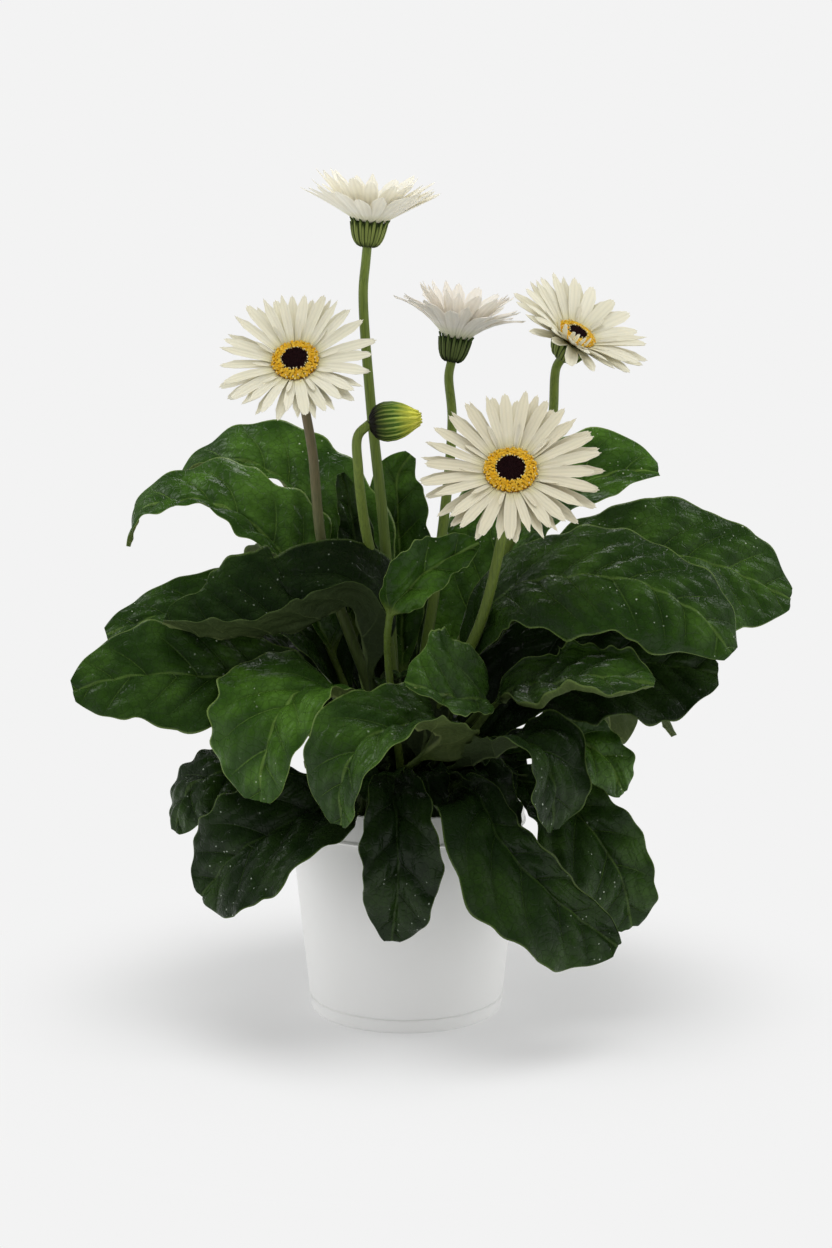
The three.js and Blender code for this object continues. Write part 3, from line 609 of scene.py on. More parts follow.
# %% The leaves' numbers
CROWN_TOPS = (118, 121, 124)
SEAT_RADII = (27.3, 18.4, 9.4)
CLEARANCE = 0.3
# A leaf's tone sets how light its green is, from 0 to 1: partly its own colour and partly painted shade,
# lowest for leaves deep in the plant.
LEAF_DEFAULTS = dict(
    half=(28, 28), widest=0.6, round=0.6, roll=(0, 0), left=(35, 8, 0), right=(35, 8, 0), wave=3, waves=3,
    phase=0, lobe=0.06, rise=18, start=0.5, heading=None, tone=0.5, tooth=0.05, lobes=7, ruffle=1.2,
    curl=(0, 0), half_columns=18,
)
LEAVES = {
    "leaf_high_left_front": dict(
        seat=(1, 176),
        rib=[
            (-69, 10, 264), (-92, 22, 286), (-107, 27, 294), (-125, 32, 298), (-156, 36, 292),
            (-167, 38, 268),
        ],
        half=(12, 37), left=(5, -5, -20), right=(75, 18, 0), round=0.55, lobe=0.16, phase=2.9, tone=0.85,
    ),
    "leaf_high_left_back": dict(
        seat=(1, 146),
        rib=[
            (-52, 45, 285), (-70, 60, 303), (-90, 71, 315), (-111, 79, 317), (-131, 86, 310),
            (-148, 92, 290),
        ],
        half=(8, 40), left=(0, 0, 0), right=(62, 36, 0), widest=0.42, tone=0.8,
    ),
    "leaf_folded_left": dict(
        seat=(1, 214),
        rib=[(-32, -28, 245), (-60, -39, 234), (-88, -44, 231), (-116, -48, 232), (-138, -50, 241)],
        half=(28, 53), left=(62, 20, 0), right=(65, 50, 0), tone=0.1,
    ),
    "leaf_mid_left_back": dict(
        seat=(0, 172), rib=[(-60, 8, 222), (-100, 11, 234), (-140, 9, 234), (-178, 4, 222)], half=(37, 30),
        roll=(30, 25), start=0.25, tone=0.4,
    ),
    "leaf_mid_left": dict(
        seat=(0, 203),
        rib=[(-66, -32, 190), (-104, -46, 206), (-138, -54, 210), (-165, -58, 208), (-189, -59, 201)],
        half=(36, 35), roll=(40, 40), left=(20, -10, -10), start=0.35, tone=0.35,
    ),
    "leaf_front_left": dict(
        seat=(0, 234),
        rib=[(-38, -46, 196), (-56, -69, 203), (-69, -87, 194), (-77, -95, 172), (-80, -96, 145)],
        half=(27, 43), left=(25, 0, -10), widest=0.55, round=0.5, tone=0.75,
    ),
    "leaf_front": dict(
        seat=(0, 250),
        rib=[(20, -68, 178), (-2, -102, 190), (-23, -121, 185), (-34, -127, 165), (-35, -123, 138)],
        half=(28, 36), roll=(15, 0), widest=0.5, tone=0.45,
    ),
    "leaf_cup": dict(
        seat=(1, 318), rib=[(44, -66, 197), (28, -90, 203), (12, -106, 211), (-1, -110, 217)],
        half=(15, 40), left=(-25, -30, 0), right=(70, 65, 0), rise=22, round=0.5, widest=0.6, wave=1.5,
        start=0.8, tone=0.45, tooth=0, ruffle=0.5,
    ),
    "leaf_boat": dict(
        seat=(0, 316),
        rib=[(60, -38, 199), (78, -62, 206), (102, -78, 214), (123, -85, 213), (138, -88, 211)],
        half=(30, 28), left=(50, 15, 0), right=(-35, -15, 10), start=0.7, tone=0.35, curl=(160, 150),
    ),
    "leaf_right_front": dict(
        seat=(1, 340),
        rib=[(52, -22, 248), (90, -42, 264), (130, -54, 262), (162, -62, 246), (184, -66, 222)],
        half=(40, 38), roll=(-25, -30), left=(25, -8, 0), right=(0, -20, -20), tone=0.4,
    ),
    "leaf_right_back": dict(
        seat=(1, 4), rib=[(80, 6, 250), (130, 10, 268), (176, 16, 264), (230, 24, 240)], half=(40, 50),
        roll=(-30, -50), left=(20, 0, 0), right=(20, 0, 0), start=0.75, tone=0.5,
    ),
    "leaf_right_shade": dict(
        seat=(0, 344), rib=[(62, -14, 199), (102, -12, 212), (144, -10, 208), (184, -8, 202)],
        half=(34, 50), roll=(-35, -42), right=(10, 0, 0), start=0.25, tone=0.0,
    ),
    "leaf_low_right_side": dict(
        seat=(0, 16), rib=[(80, 20, 198), (115, 22, 199), (139, 24, 184), (161, 24, 157)], half=(26, 26),
        tone=0.4,
    ),
    "leaf_high_right": dict(
        seat=(1, 30), rib=[(66, 56, 272), (96, 62, 298), (128, 68, 312), (156, 70, 311)], half=(48, 30),
        roll=(-30, -30), start=0.3, tone=1.1,
    ),
    "leaf_centre_back": dict(
        seat=(1, 96), rib=[(-3, 50, 240), (-5, 61, 285), (-5, 65, 310), (4, 65, 324)], heading=90,
        half=(21, 20), tone=0.6,
    ),
    "leaf_upright": dict(
        seat=(1, 262), rib=[(-9, -58, 243), (0, -57, 257), (12, -54, 268), (26, -50, 276), (42, -46, 284)],
        heading=90, half=(19, 14), start=1, widest=0.4, tone=0.8, curl=(60, 0),
    ),
    "leaf_low_left_front": dict(
        seat=(0, 218), rib=[(-50, -68, 136), (-66, -80, 130), (-92, -86, 116), (-116, -80, 88)],
        half=(45, 32), roll=(40, 40), tone=0.04,
    ),
    "leaf_low_left_side": dict(
        seat=(0, 188), rib=[(-84, -26, 144), (-108, -30, 148), (-126, -30, 137), (-135, -30, 112)],
        half=(28, 22), roll=(10, 10), left=(-25, -35, 0), wave=1, tone=0.2,
    ),
    "leaf_low_front": dict(
        seat=(0, 266), rib=[(-7, -72, 152), (-5, -96, 136), (-4, -104, 106), (-8, -96, 66)], half=(25, 21),
        tone=0.0,
    ),
    "leaf_low_right_front": dict(
        seat=(0, 300), rib=[(40, -74, 146), (52, -98, 126), (78, -104, 98), (120, -92, 62)], half=(18, 40),
        roll=(-45, -55), left=(30, 20, 20), right=(20, 0, 0), widest=0.56, tone=0.12, curl=(130, 0),
    ),
    "leaf_low_right": dict(
        seat=(0, 330), rib=[(80, -38, 142), (104, -56, 122), (122, -60, 94), (130, -50, 60)], half=(22, 36),
        roll=(-50, -70), tone=0.3,
    ),
    "leaf_low_right_back": dict(
        seat=(0, 358), rib=[(76, -6, 158), (100, -10, 163), (118, -12, 150), (128, -10, 130)],
        half=(18, 28), roll=(-30, -50), tone=0.7,
    ),
    "leaf_tongue": dict(
        seat=(0, 284), rib=[(48, -62, 166), (72, -86, 176), (81, -95, 156), (81, -93, 128)], half=(28, 25),
        tone=0.08, curl=(120, 0),
    ),
    "leaf_young": dict(
        seat=(1, 120), rib=[(-20, 20, 225), (-29, 24, 270), (-34, 26, 300), (-39, 26, 317)], heading=110,
        half=(12, 12), tone=0.1,
    ),
    "leaf_back_low_right": dict(
        seat=(0, 45), rib=[(48, 44, 180), (84, 76, 204), (118, 106, 180), (134, 120, 130)], half=(32, 36),
        tone=0.2,
    ),
    "leaf_back_low": dict(
        seat=(0, 90), rib=[(4, 52, 170), (2, 94, 205), (-2, 132, 186), (-4, 150, 136)], half=(36, 36),
        start=0.3, tone=0.2,
    ),
    "leaf_back_low_left": dict(
        seat=(0, 135), rib=[(-46, 44, 178), (-80, 76, 206), (-106, 102, 190), (-118, 118, 146)],
        half=(36, 36), start=0.3, tone=0.2,
    ),
    "leaf_back_right": dict(
        seat=(0, 66), rib=[(30, 54, 206), (50, 88, 250), (68, 124, 256), (80, 148, 222)], half=(36, 36),
        start=0.3, tone=0.3,
    ),
    "leaf_back_left": dict(
        seat=(0, 113), rib=[(-30, 54, 206), (-52, 88, 250), (-72, 122, 254), (-86, 144, 220)],
        half=(36, 36), start=0.3, tone=0.3,
    ),
}
print(len(LEAVES), "leaves")


# %% A smooth curve
def smooth_curve(points, steps):
    """Places along a centripetal Catmull-Rom curve through the points. steps: how many in each span."""
    points = np.array(points, float)
    points = np.vstack([2 * points[0] - points[1], points, 2 * points[-1] - points[-2]])
    t = np.linspace(0, 1, steps, endpoint=False)[:, None]
    spans = []
    for a, b, c, d in zip(points, points[1:], points[2:], points[3:]):
        before, here, after = (math.sqrt(np.linalg.norm(q - p)) for p, q in ((a, b), (b, c), (c, d)))
        leave = ((b - a) / before - (c - a) / (before + here) + (c - b) / here) * here
        arrive = ((c - b) / here - (d - b) / (here + after) + (d - c) / after) * here
        square, cube = 3 * (c - b) - 2 * leave - arrive, 2 * (b - c) + leave + arrive
        spans.append(b + leave * t + square * t**2 + cube * t**3)
    return np.vstack([*spans, points[-2:-1]])


def seat(ring, bearing):
    """Where a stalk or stem stands on the crown."""
    turn = math.radians(bearing)
    radius = SEAT_RADII[ring]
    return np.array([radius * math.cos(turn), radius * math.sin(turn), CROWN_TOPS[ring] + CLEARANCE])


print("curves ready")

# %% A leaf's grid
STALK_ROWS, BLADE_ROWS = 12, 88
SPAN_STEPS = 60
STALK_RADIUS, NECK_RADIUS = 2.5, 2.0
THICKNESS, RIB_DEPTH = 0.9, 2.2
TIP_SHARE = 0.985
CURL_FROM = 0.84  # share of a half where its margin begins to roll over
# Heights and widths of the relief, in mm.
VEIN_DEPTH, VEIN_WIDTH = 0.7, 1.4
MIDRIB_DEPTH, MIDRIB_WIDTH = 0.9, 2.0
PILLOW_HEIGHT, PILLOW_WIDTH = 2.6, 7
PUCKER_HEIGHT, PUCKER_WIDTH = 0.6, 3.5
TONE_RISE = 0.3  # how much brighter a blade gets from its foot to its tip


def bell(distance, width):
    """A soft bump, 1 at no distance and near 0 past the width."""
    return np.exp(-((distance / width) ** 2))


def soft_step(t):
    """From 0 to 1, level at both ends."""
    t = np.clip(t, 0, 1)
    return t * t * (3 - 2 * t)


class Leaf:
    """One leaf's grid of points, from its foot on the crown to its tip."""

    def __init__(self, **given):
        self.__dict__.update(LEAF_DEFAULTS, **given)
        foot = seat(*self.seat)
        self.path = smooth_curve([foot, foot + [0, 0, self.rise], *self.rib], SPAN_STEPS)
        steps = np.linalg.norm(np.diff(self.path, axis=0), axis=1)
        self.run = np.concatenate([[0], np.cumsum(steps)])
        self.blade_start = self.run[round(SPAN_STEPS * (1 + self.start))] / self.run[-1]
        self.length = self.run[-1] * (1 - self.blade_start)
        along = np.subtract(self.rib[-1], self.rib[0])
        heading = math.atan2(along[1], along[0]) if self.heading is None else math.radians(self.heading)
        self.side = np.array([math.sin(heading), -math.cos(heading), 0])

    def frames(self, shares, roll):
        """The midrib's places and the blade's sideways and upward directions at shares of its length."""
        at = shares * self.run[-1]
        place = np.stack([np.interp(at, self.run, self.path[:, k]) for k in range(3)], 1)
        slopes = np.gradient(self.path, self.run, axis=0)
        along = np.stack([np.interp(at, self.run, slopes[:, k]) for k in range(3)], 1)
        along[0] = UP
        along /= np.linalg.norm(along, axis=1)[:, None]
        level = self.side - along * (along @ self.side)[:, None]
        level /= np.linalg.norm(level, axis=1)[:, None]
        turn = -np.radians(roll)[:, None]
        side = level * np.cos(turn) + np.cross(along, level) * np.sin(turn)
        return place, side, np.cross(side, along)

    def outline(self, v):
        """How wide the blade is along its length, as a share of its widest."""
        power = math.log(0.5) / math.log(self.widest)
        return np.sin(math.pi * np.clip(v, 0, 1) ** power) ** self.round

    def offsets(self, v, u):
        """Sideways and upward offsets of both faces, and the vein map, at v along and u across."""
        s = np.where(u < 0, -1, 1)
        reach = np.abs(u)
        left, right = self.left, self.right
        at_foot, at_tip, margin = (np.where(u < 0, left[k], right[k]) for k in range(3))
        start = np.radians(at_foot + (at_tip - at_foot) * v)
        end = start + np.radians(margin) * reach
        slope = (start + end) / 2
        turns = 2 * math.pi * v
        scallop = self.lobe * np.cos((self.waves + 0.5) * turns + self.phase + s)
        beat = self.lobes * turns / 2 + 1.3 * s + self.number
        tooth = self.tooth * (np.abs(np.cos(beat)) - 0.6 + 0.5 * np.sin(2.6 * beat + 2 * s))
        half = np.where(u < 0, self.half[0], self.half[1]) * self.outline(v)
        width = half * (1 + scallop + tooth * reach**3) * reach
        flat = np.minimum(1, CURL_FROM / np.maximum(reach, CURL_FROM))
        rolled = np.clip((reach - CURL_FROM) / (1 - CURL_FROM), 0, 1)
        curl = np.radians(np.where(u < 0, self.curl[0], self.curl[1])) * rolled * self.outline(v)
        swell = np.sin(self.waves * turns + self.phase + 1.6 * s)
        ruffle = np.sin((3.1 * self.waves + 0.7) * turns + self.number + 2.2 * s)
        lift = self.outline(v) * (self.wave * swell * reach**2 + self.ruffle * ruffle * reach**5)
        vein, relief = self.relief(v, width, reach, s)
        rib = RIB_DEPTH + (1.1 - RIB_DEPTH) * v
        depth = THICKNESS * (1 - 0.75 * reach**6) + (rib - THICKNESS) * bell(width, 2.4)
        tops, unders = relief, relief * 0.9 - depth * (reach < 0.999) - 0.12 * (reach >= 0.999)
        lean = np.where(reach > 0, end + curl, 0)
        out = width * (flat * np.cos(slope) + (1 - flat) * np.cos(end + curl / 2))
        rise = width * (flat * np.sin(slope) + (1 - flat) * np.sin(end + curl / 2)) + lift
        placed = [(s * (out - h * np.sin(lean)), rise + h * np.cos(lean)) for h in (tops, unders)]
        return placed, vein

    def relief(self, v, width, reach, s):
        """The vein count at each point, and how far the upper face stands above the plain blade, in mm."""
        count = (v * self.length - 0.75 * width - 0.008 * width**2) / VEIN_SPACING
        count = count + 0.14 * np.sin(2.1 * count + self.number + s)
        gap = np.abs((count + 0.25 * s) % 1 - 0.5)
        away = (0.5 - gap) * VEIN_SPACING
        fade = 1 - reach**4
        veins = -VEIN_DEPTH * bell(away, VEIN_WIDTH) * fade
        pillow = PILLOW_HEIGHT * (1 - bell(away, PILLOW_WIDTH)) * fade * self.outline(v)
        ladder = np.sin(width * 0.75 + 3 * np.floor(count + 0.25 * s) + self.number)
        pucker = PUCKER_HEIGHT * ladder * (1 - bell(away, PUCKER_WIDTH)) * fade * soft_step(v * 5)
        midrib = MIDRIB_DEPTH * bell(width, MIDRIB_WIDTH) * soft_step(v * 5)
        return count, (veins + pillow + pucker) * soft_step(v * 6) - midrib

    def grid(self):
        """Points, faces, vein map and marks of the whole leaf."""
        blade = TIP_SHARE * (1 - (1 - np.arange(BLADE_ROWS + 1) / BLADE_ROWS) ** 1.25)
        stalk = self.blade_start * (np.arange(STALK_ROWS) / STALK_ROWS)
        shares = np.concatenate([stalk, self.blade_start + (1 - self.blade_start) * blade])
        v = np.concatenate([np.zeros(STALK_ROWS), blade])
        place, side, up = self.frames(shares, self.roll[0] + (self.roll[1] - self.roll[0]) * v)
        u = np.linspace(-1, 1, 2 * self.half_columns + 1)
        placed, count = self.offsets(v[:, None], u[None, :])
        radius = STALK_RADIUS + (NECK_RADIUS - STALK_RADIUS) * np.clip(shares / self.blade_start, 0, 1)
        opening = soft_step(v / 0.14)[:, None]
        turn = math.pi * (1 - u) / 2
        rows = []
        for (out, lift), sign, edge in zip(placed, (1, -1), (0, 0.06)):
            across = radius[:, None] * np.cos(turn) * (1 - opening) + out * opening
            height = sign * (radius[:, None] * np.sin(turn) + edge) * (1 - opening) + lift * opening
            rows.append(place[:, None] + side[:, None] * across[..., None] + up[:, None] * height[..., None])
        return v, u, rows, count

    def piece(self, name):
        """The leaf as an object, with its two skins."""
        v, u, (top, under), count = self.grid()
        rows, columns = top.shape[:2]
        points = np.vstack([top.reshape(-1, 3), under.reshape(-1, 3)])
        faces = closed_grid(rows, columns)
        map_u = np.tile(count.ravel(), 2)
        width = np.abs(u)[None, :] * np.array(self.half).mean() * self.outline(v)[:, None]
        map_v = np.tile(width.ravel() / 100, 2)
        right = (np.tile(np.tile(u, rows), 2)[faces].mean(1) > 0)[:, None]
        uv = np.stack([map_u[faces] + np.where(right, 0.25, -0.25), map_v[faces]], 2)
        marks = {
            "rim": np.tile(np.broadcast_to(np.abs(u), (rows, columns)).ravel(), 2),
            "stalk": np.tile(np.repeat(1 - soft_step(v / 0.16), columns), 2),
            "tone": np.tile(np.repeat(np.clip(self.tone + TONE_RISE * (v - 0.6), 0, 1), columns), 2),
        }
        skins = (leaf_upper, leaf_under)
        made = mesh_object(name, points, faces.tolist(), {"veins": uv.reshape(-1, 2)}, marks, skins)
        belongs = np.zeros(len(faces), np.int32)
        cells = (rows - 1) * (columns - 1)
        belongs[cells : 2 * cells] = 1
        made.data.polygons.foreach_set("material_index", belongs)
        return made


faces_made = 0
for number, (name, given) in enumerate(LEAVES.items()):
    piece = put(Leaf(number=number, **given).piece(name + "_blade"), name)
    faces_made += len(piece.data.polygons)
print(len(LEAVES), "leaves with", faces_made, "faces")

# %% Young leaves at the heart
YOUNG = [  # bearing, reach and height of the tip, half width
    (196, 62, 150, 15), (228, 58, 160, 15), (250, 66, 140, 14), (262, 30, 205, 15), (283, 70, 128, 13),
    (292, 38, 200, 16), (314, 66, 158, 15), (337, 78, 146, 19), (5, 62, 170, 16), (24, 66, 152, 16),
    (60, 60, 165, 16), (120, 60, 165, 16), (160, 62, 160, 16), (330, 34, 215, 15), (240, 32, 200, 14),
    (322, 78, 138, 17), (311, 90, 116, 18),
]
YOUNG_HALF_COLUMNS = 13
heart = []
for number, (bearing, reach, height, half) in enumerate(YOUNG, 100):
    turn = math.radians(bearing)
    aim = np.array([math.cos(turn), math.sin(turn), 0])
    top = max(height, 150)
    places = ((20 + 0.2 * reach, 128 + 0.45 * (top - 118)), (0.7 * reach, top), (reach, height))
    # Tone 0 makes them the darkest green: painted shade for the depth of the heart.
    look = {"seat": (2, bearing), "half": (half, half), "start": 0.1, "tone": 0.0}
    look.update(rib=[aim * out + [0, 0, up] for out, up in places], half_columns=YOUNG_HALF_COLUMNS)
    heart.append(Leaf(number=number, **look).piece(f"young_{number}"))
print(len(heart), "young leaves")

# %% [markdown]
# ## Petals
#
# What looks like a petal is a ray floret: a soft strap, widest near its end, with two lengthwise grooves and
# three small teeth at its tip. It is matt and slightly see-through, cream with a greenish root. One strap
# is modelled as a small closed grid, in three variants for each layer, and the ring tree repeats them in
# two full layers with a few short ones inside.

# %% Soft skin
GROOVE_LINES = 3


def soft_skin(name, colours, roughness, tint_share, grooves, glow=0.0, root_end=0.3, tip_start=0.82):
    """A matt plant skin. colours: root, body and other body, and where it has them its edges and its tip.

    tint_share: how far one copy may go to the other colour. grooves: their depth in mm. glow: how much light
    goes through it. root_end, tip_start: where along it the root's colour ends and the tip's starts.
    """
    made, tree = blank_material(name)
    root, body, other, *ends = map(hex_colour, colours)
    strap_map = add(tree, "ShaderNodeUVMap", uv_map="strap")
    across, along, _ = add(tree, "ShaderNodeSeparateXYZ", {0: strap_map}, out=None).outputs
    tint = add(tree, "ShaderNodeAttribute", out="Fac", attribute_name="tint")
    value = {"across": across, "along": along, "tint": tint}
    rows = (
        ("share", "MULTIPLY", "tint", tint_share),
        ("off_middle", "SUBTRACT", "across", 0.5),
        ("off_middle", "ABSOLUTE", "off_middle"),
        ("wave", "MULTIPLY", "across", 2 * GROOVE_LINES * math.pi),
        ("wave", "COSINE", "wave"),
    )
    work_out(tree, value, rows)
    mixed = add(tree, "ShaderNodeMix", {0: value["share"], 6: body, 7: other}, out=2, data_type="RGBA")
    for label, low, high, colour in zip(("off_middle", "along"), (0.16, tip_start), (0.34, 1.0), ends):
        there = add(tree, "ShaderNodeMapRange", {0: value[label], 1: low, 2: high})
        mixed = add(tree, "ShaderNodeMix", {0: there, 6: mixed, 7: colour}, out=2, data_type="RGBA")
    rooted = add(tree, "ShaderNodeMapRange", {0: along, 1: 0.3 * root_end, 2: root_end})
    mixed = add(tree, "ShaderNodeMix", {0: rooted, 6: root, 7: mixed}, out=2, data_type="RGBA")
    wave = value["wave"]
    shade = add(tree, "ShaderNodeMapRange", {0: wave, 1: -1.0, 2: 0.5, 3: 0.93, 4: 1.0})
    look = {
        "Base Color": add(tree, "ShaderNodeHueSaturation", {"Value": shade, "Color": mixed}),
        "Roughness": roughness,
        "IOR": 1.4,
        "Specular IOR Level": 0.2,
        "Subsurface Weight": glow,
        "Subsurface Radius": (1.0, 0.9, 0.75),
        "Subsurface Scale": 2 * MM,
        "Normal": add(tree, "ShaderNodeBump", {"Height": wave, "Strength": 0.6, "Distance": grooves * MM}),
    }
    add(tree, "ShaderNodeOutputMaterial", {"Surface": add(tree, "ShaderNodeBsdfPrincipled", look)})
    print(name, "uses", len(tree.nodes), "nodes")
    return made


# The second and third colours are the cream painted darker and lighter: painted shade on the front head and
# painted light on the top head.
PETAL_COLOURS = {
    "cream": ("#D6D0A6", "#E9E4CE", "#DDD8BF"),
    "cream_painted_shade": ("#CDC69C", "#DFD8BF", "#D2CAB1"),
    "cream_painted_light": ("#E6E2C2", "#FCF8E8", "#F4EFDC"),
    "blush": ("#DCDABC", "#F4EEE2", "#EEE6DA"),
}
petal_skins = {
    kind: soft_skin("petal_soft_" + kind, colours, 0.6, 0.7, 0.1, glow=0.25)
    for kind, colours in PETAL_COLOURS.items()
}

# %% One strap
STRAP_COLUMNS = np.array([-1, -0.66, -0.33, 0, 0.33, 0.66, 1])
STRAP_ROWS = np.array([0, 0.14, 0.3, 0.48, 0.66, 0.82, 0.93, 1])
STRAP_THICKNESS = 0.5


def strap(name, length, width, bend, twist, cup, point=0.3, skins=()):
    """A petal that points along +X from the origin. bend: degrees that it curves up to its tip. cup: mm.

    point: how far its end narrows, from 0, square, to 1, sharp.
    """
    q, t = STRAP_COLUMNS[None, :], STRAP_ROWS[:, None]
    ridge = np.abs(q) - 0.33
    tooth = 1 - (0.02 + 0.13 * point) * q**2 - 0.03 * bell(ridge, 0.15)
    along = length * t * (1 - (1 - tooth) * soft_step((t - 0.3) / 0.7))
    half = width / 2 * (0.6 + 0.4 * soft_step(t / 0.45)) * (1 - point * soft_step((t - 0.78) / 0.22) ** 1.5)
    across = q * half
    height = (cup * q**2 - 0.22 * bell(ridge, 0.2)) * np.sin(math.pi * t)
    lean = np.radians(twist) * t
    angle = np.radians(bend) * t / 2
    x = along * np.cos(angle) - height * np.sin(angle)
    y = across * np.cos(lean)
    z = along * np.sin(angle) + height * np.cos(angle) + across * np.sin(lean)
    upper = np.stack(np.broadcast_arrays(x, y, z), 2)
    edge = np.maximum(np.abs(q), (t > 0.95) * 1.0)
    lower = upper - [0, 0, STRAP_THICKNESS] * (1 - 0.6 * edge**4)[..., None]
    faces = closed_grid(*upper.shape[:2], swapped=True)
    spread = np.stack(np.broadcast_arrays((q + 1) / 2, t), 2).reshape(-1, 2)
    uv = np.tile(spread, (2, 1))[faces].reshape(-1, 2)
    points = np.vstack([upper.reshape(-1, 3), lower.reshape(-1, 3)])
    return mesh_object(name, points, faces.tolist(), {"strap": uv}, skins=skins)


print("a strap has", 2 * (len(STRAP_ROWS) - 1) * (len(STRAP_COLUMNS) - 1), "large faces")

# %% The heads' numbers
HEADS = {
    "flower_top": dict(
        centre=(-20.5, 12, 463), facing=(0.1, -0.08, 1), hub=10.5, petals=15, length=34, width=8.8,
        lower=(32, 29), upper=(46, 42), eye=4.5, seat=(2, 130),
        via=[(-12, 8, 273), (-20.5, 10, 359), (-24.5, 12, 420)], skin="cream_painted_light",
    # the top head's petals are painted lighter: painted light
    ),
    "flower_left": dict(
        centre=(-62, -22, 383), facing=(-0.08, -0.77, 0.64), hub=13.6, petals=20, length=32, width=6.6,
        lower=(6, 4), upper=(16, 12), eye=7.4, seat=(2, 190), via=[(-47, 5, 266), (-54, 0, 332)],
        brown=True,
    ),
    "flower_mid": dict(
        centre=(29.5, 35, 396), facing=(0.18, -0.05, 1), hub=9.5, petals=14, length=34, width=8.8,
        lower=(50, 15), upper=(60, 42), eye=4, seat=(2, 70), via=[(20, 20, 270), (27, 30, 346)],
        skin="blush", calyx="dark",
    ),
    "flower_right": dict(
        centre=(99, 32, 395), facing=(0.42, -0.47, 0.78), hub=12.2, petals=16, length=32, width=8.2,
        lower=(18, 14), upper=(28, 22), eye=6, seat=(2, 10),
        via=[(44, 26, 240), (74, 36, 300), (86, 37, 345)],
        strands=(  # bearing, rise, share of a petal's length
            (205, 40, 0.34), (222, 55, 0.3), (236, 35, 0.42), (250, 60, 0.26), (262, 45, 0.38),
            (280, 50, 0.3), (300, 62, 0.26),
        ),
    ),
    "flower_front": dict(
        centre=(58, -58, 325), facing=(0, -0.77, 0.64), hub=15.1, petals=21, length=36, width=7,
        lower=(5, 2), upper=(14, 10), eye=8.1, seat=(2, 310), via=[(42, -30, 234), (54, -38, 285)],
        # the front head's petals are painted darker: painted shade
        skin="cream_painted_shade",
    ),
}
RAY_THICKNESS, LAYER_GAP = 0.8, 0.6
CALYX_HEIGHT, CALYX_FOOT = 13, 3.2
CALYX_TOP = -2 * RAY_THICKNESS - LAYER_GAP - 2 * CLEARANCE
print(len(HEADS), "flower heads")


# %% Placing a head
def head_matrix(place, facing):
    """Turns +Z to the way a head faces and moves it to its place, in metres."""
    turn = UP.rotation_difference(Vector(facing).normalized()).to_matrix().to_4x4()
    return Matrix.Translation(Vector(place) * MM) @ turn


for head in HEADS.values():
    head["matrix"] = head_matrix(head["centre"], head["facing"])
print("heads placed from", min(head["centre"][2] for head in HEADS.values()), "mm up")

# %% Petals of every head
MORE_PETALS = 1.2  # times as many as the solid has
PETAL_KINDS = (  # label, share of the length and of the width, further bend, twist, point
    ("a", 1.0, 0.94, 0, 6, 0.5),
    ("b", 0.97, 0.8, 7, -8, 0.62),
    ("c", 1.02, 1.0, -6, 2, 0.4),
)
LOWER_LEVEL, UPPER_LEVEL = RAY_THICKNESS, 2 * RAY_THICKNESS + LAYER_GAP
INNER_LEVEL, INNER_RISE = UPPER_LEVEL + 0.4, 9
PETAL_SPREAD = {
    "Rise jitter": math.radians(3.5), "Turn jitter": 0.14, "Roll jitter": math.radians(9),
    "Shortest": 0.93, "Longest": 1.04,
}
STRAND_SHARE, STRAND_ROOT, STRAND_LIFT = 0.3, 0.85, 3  # of a petal's width, of the disc's radius, and mm


def petals_of(name, head, seed):
    """Two full layers of straps and a few short ones inside."""
    skin = petal_skins[head.get("skin", "cream")]
    petals = round(MORE_PETALS * head["petals"])
    inner_slope = [angle + INNER_RISE for angle in head["upper"]]
    base = CALYX_TOP + CLEARANCE
    rings = []
    # Each layer: level, slope at root and tip, number, length share, shift, root, width share and cup.
    for layer, level, slope, count, scale, shift, root, share, cup in (
        ("lower", LOWER_LEVEL, head["lower"], petals, 1.0, 0.0, 0.78, 1.0, 0.9),
        ("upper", UPPER_LEVEL, head["upper"], petals, 0.97, 0.5, 0.78, 1.0, 0.9),
        ("inner", INNER_LEVEL, inner_slope, head["petals"] // 2, 0.42, 0.2, 0.9, 0.4, 0.3),
    ):
        root *= head["hub"]
        reach = head["length"] * scale + head["hub"] - root
        width = head["width"] * share
        bend = slope[1] - slope[0]
        shapes = [
            strap(f"{name}_{layer}_{label}", reach * longer, width * wider, bend + more, twist, cup, point)
            for label, longer, wider, more, twist, point in PETAL_KINDS
        ]
        values = {"Radius": root * MM, "Height": (base + level) * MM, "Rise": math.radians(slope[0])}
        values.update(PETAL_SPREAD)
        rings.append(ring_of(f"{name}_{layer}", shapes, count, shift, seed * 100 + len(rings), skin, values))
    for bearing, rise, share in head.get("strands", ()):
        size = (share * head["length"], STRAND_SHARE * head["width"])
        strand = strap(f"{name}_strand_{bearing}", *size, bend=30, twist=20, cup=0.2, skins=[skin])
        stand = Matrix.Translation(Vector((STRAND_ROOT * head["hub"], 0, base + STRAND_LIFT)) * MM)
        lean = Matrix.Rotation(math.radians(-rise), 4, "Y")
        strand.data.transform(Matrix.Rotation(math.radians(bearing), 4, "Z") @ stand @ lean)
        rings.append(strand)
    return rings


for seed, (name, head) in enumerate(HEADS.items(), 1):
    rays = joined(name + "_rays", petals_of(name, head, seed), head["matrix"])
    piece = put(shaded_smooth(rays, crease=50), name + "_petals")
    print(name, "has petals with", len(piece.data.polygons), "faces")

# %% [markdown]
# ## Disc and eye
#
# The golden ring is a few hundred disc florets, tiny five-pointed cups packed in the spiral that sunflowers
# are known for: each sits 137.5 degrees on from the last. Inside it the unopened florets are almost black,
# a dense velvety eye. A second tree lays small shapes out along that spiral over a low dome.

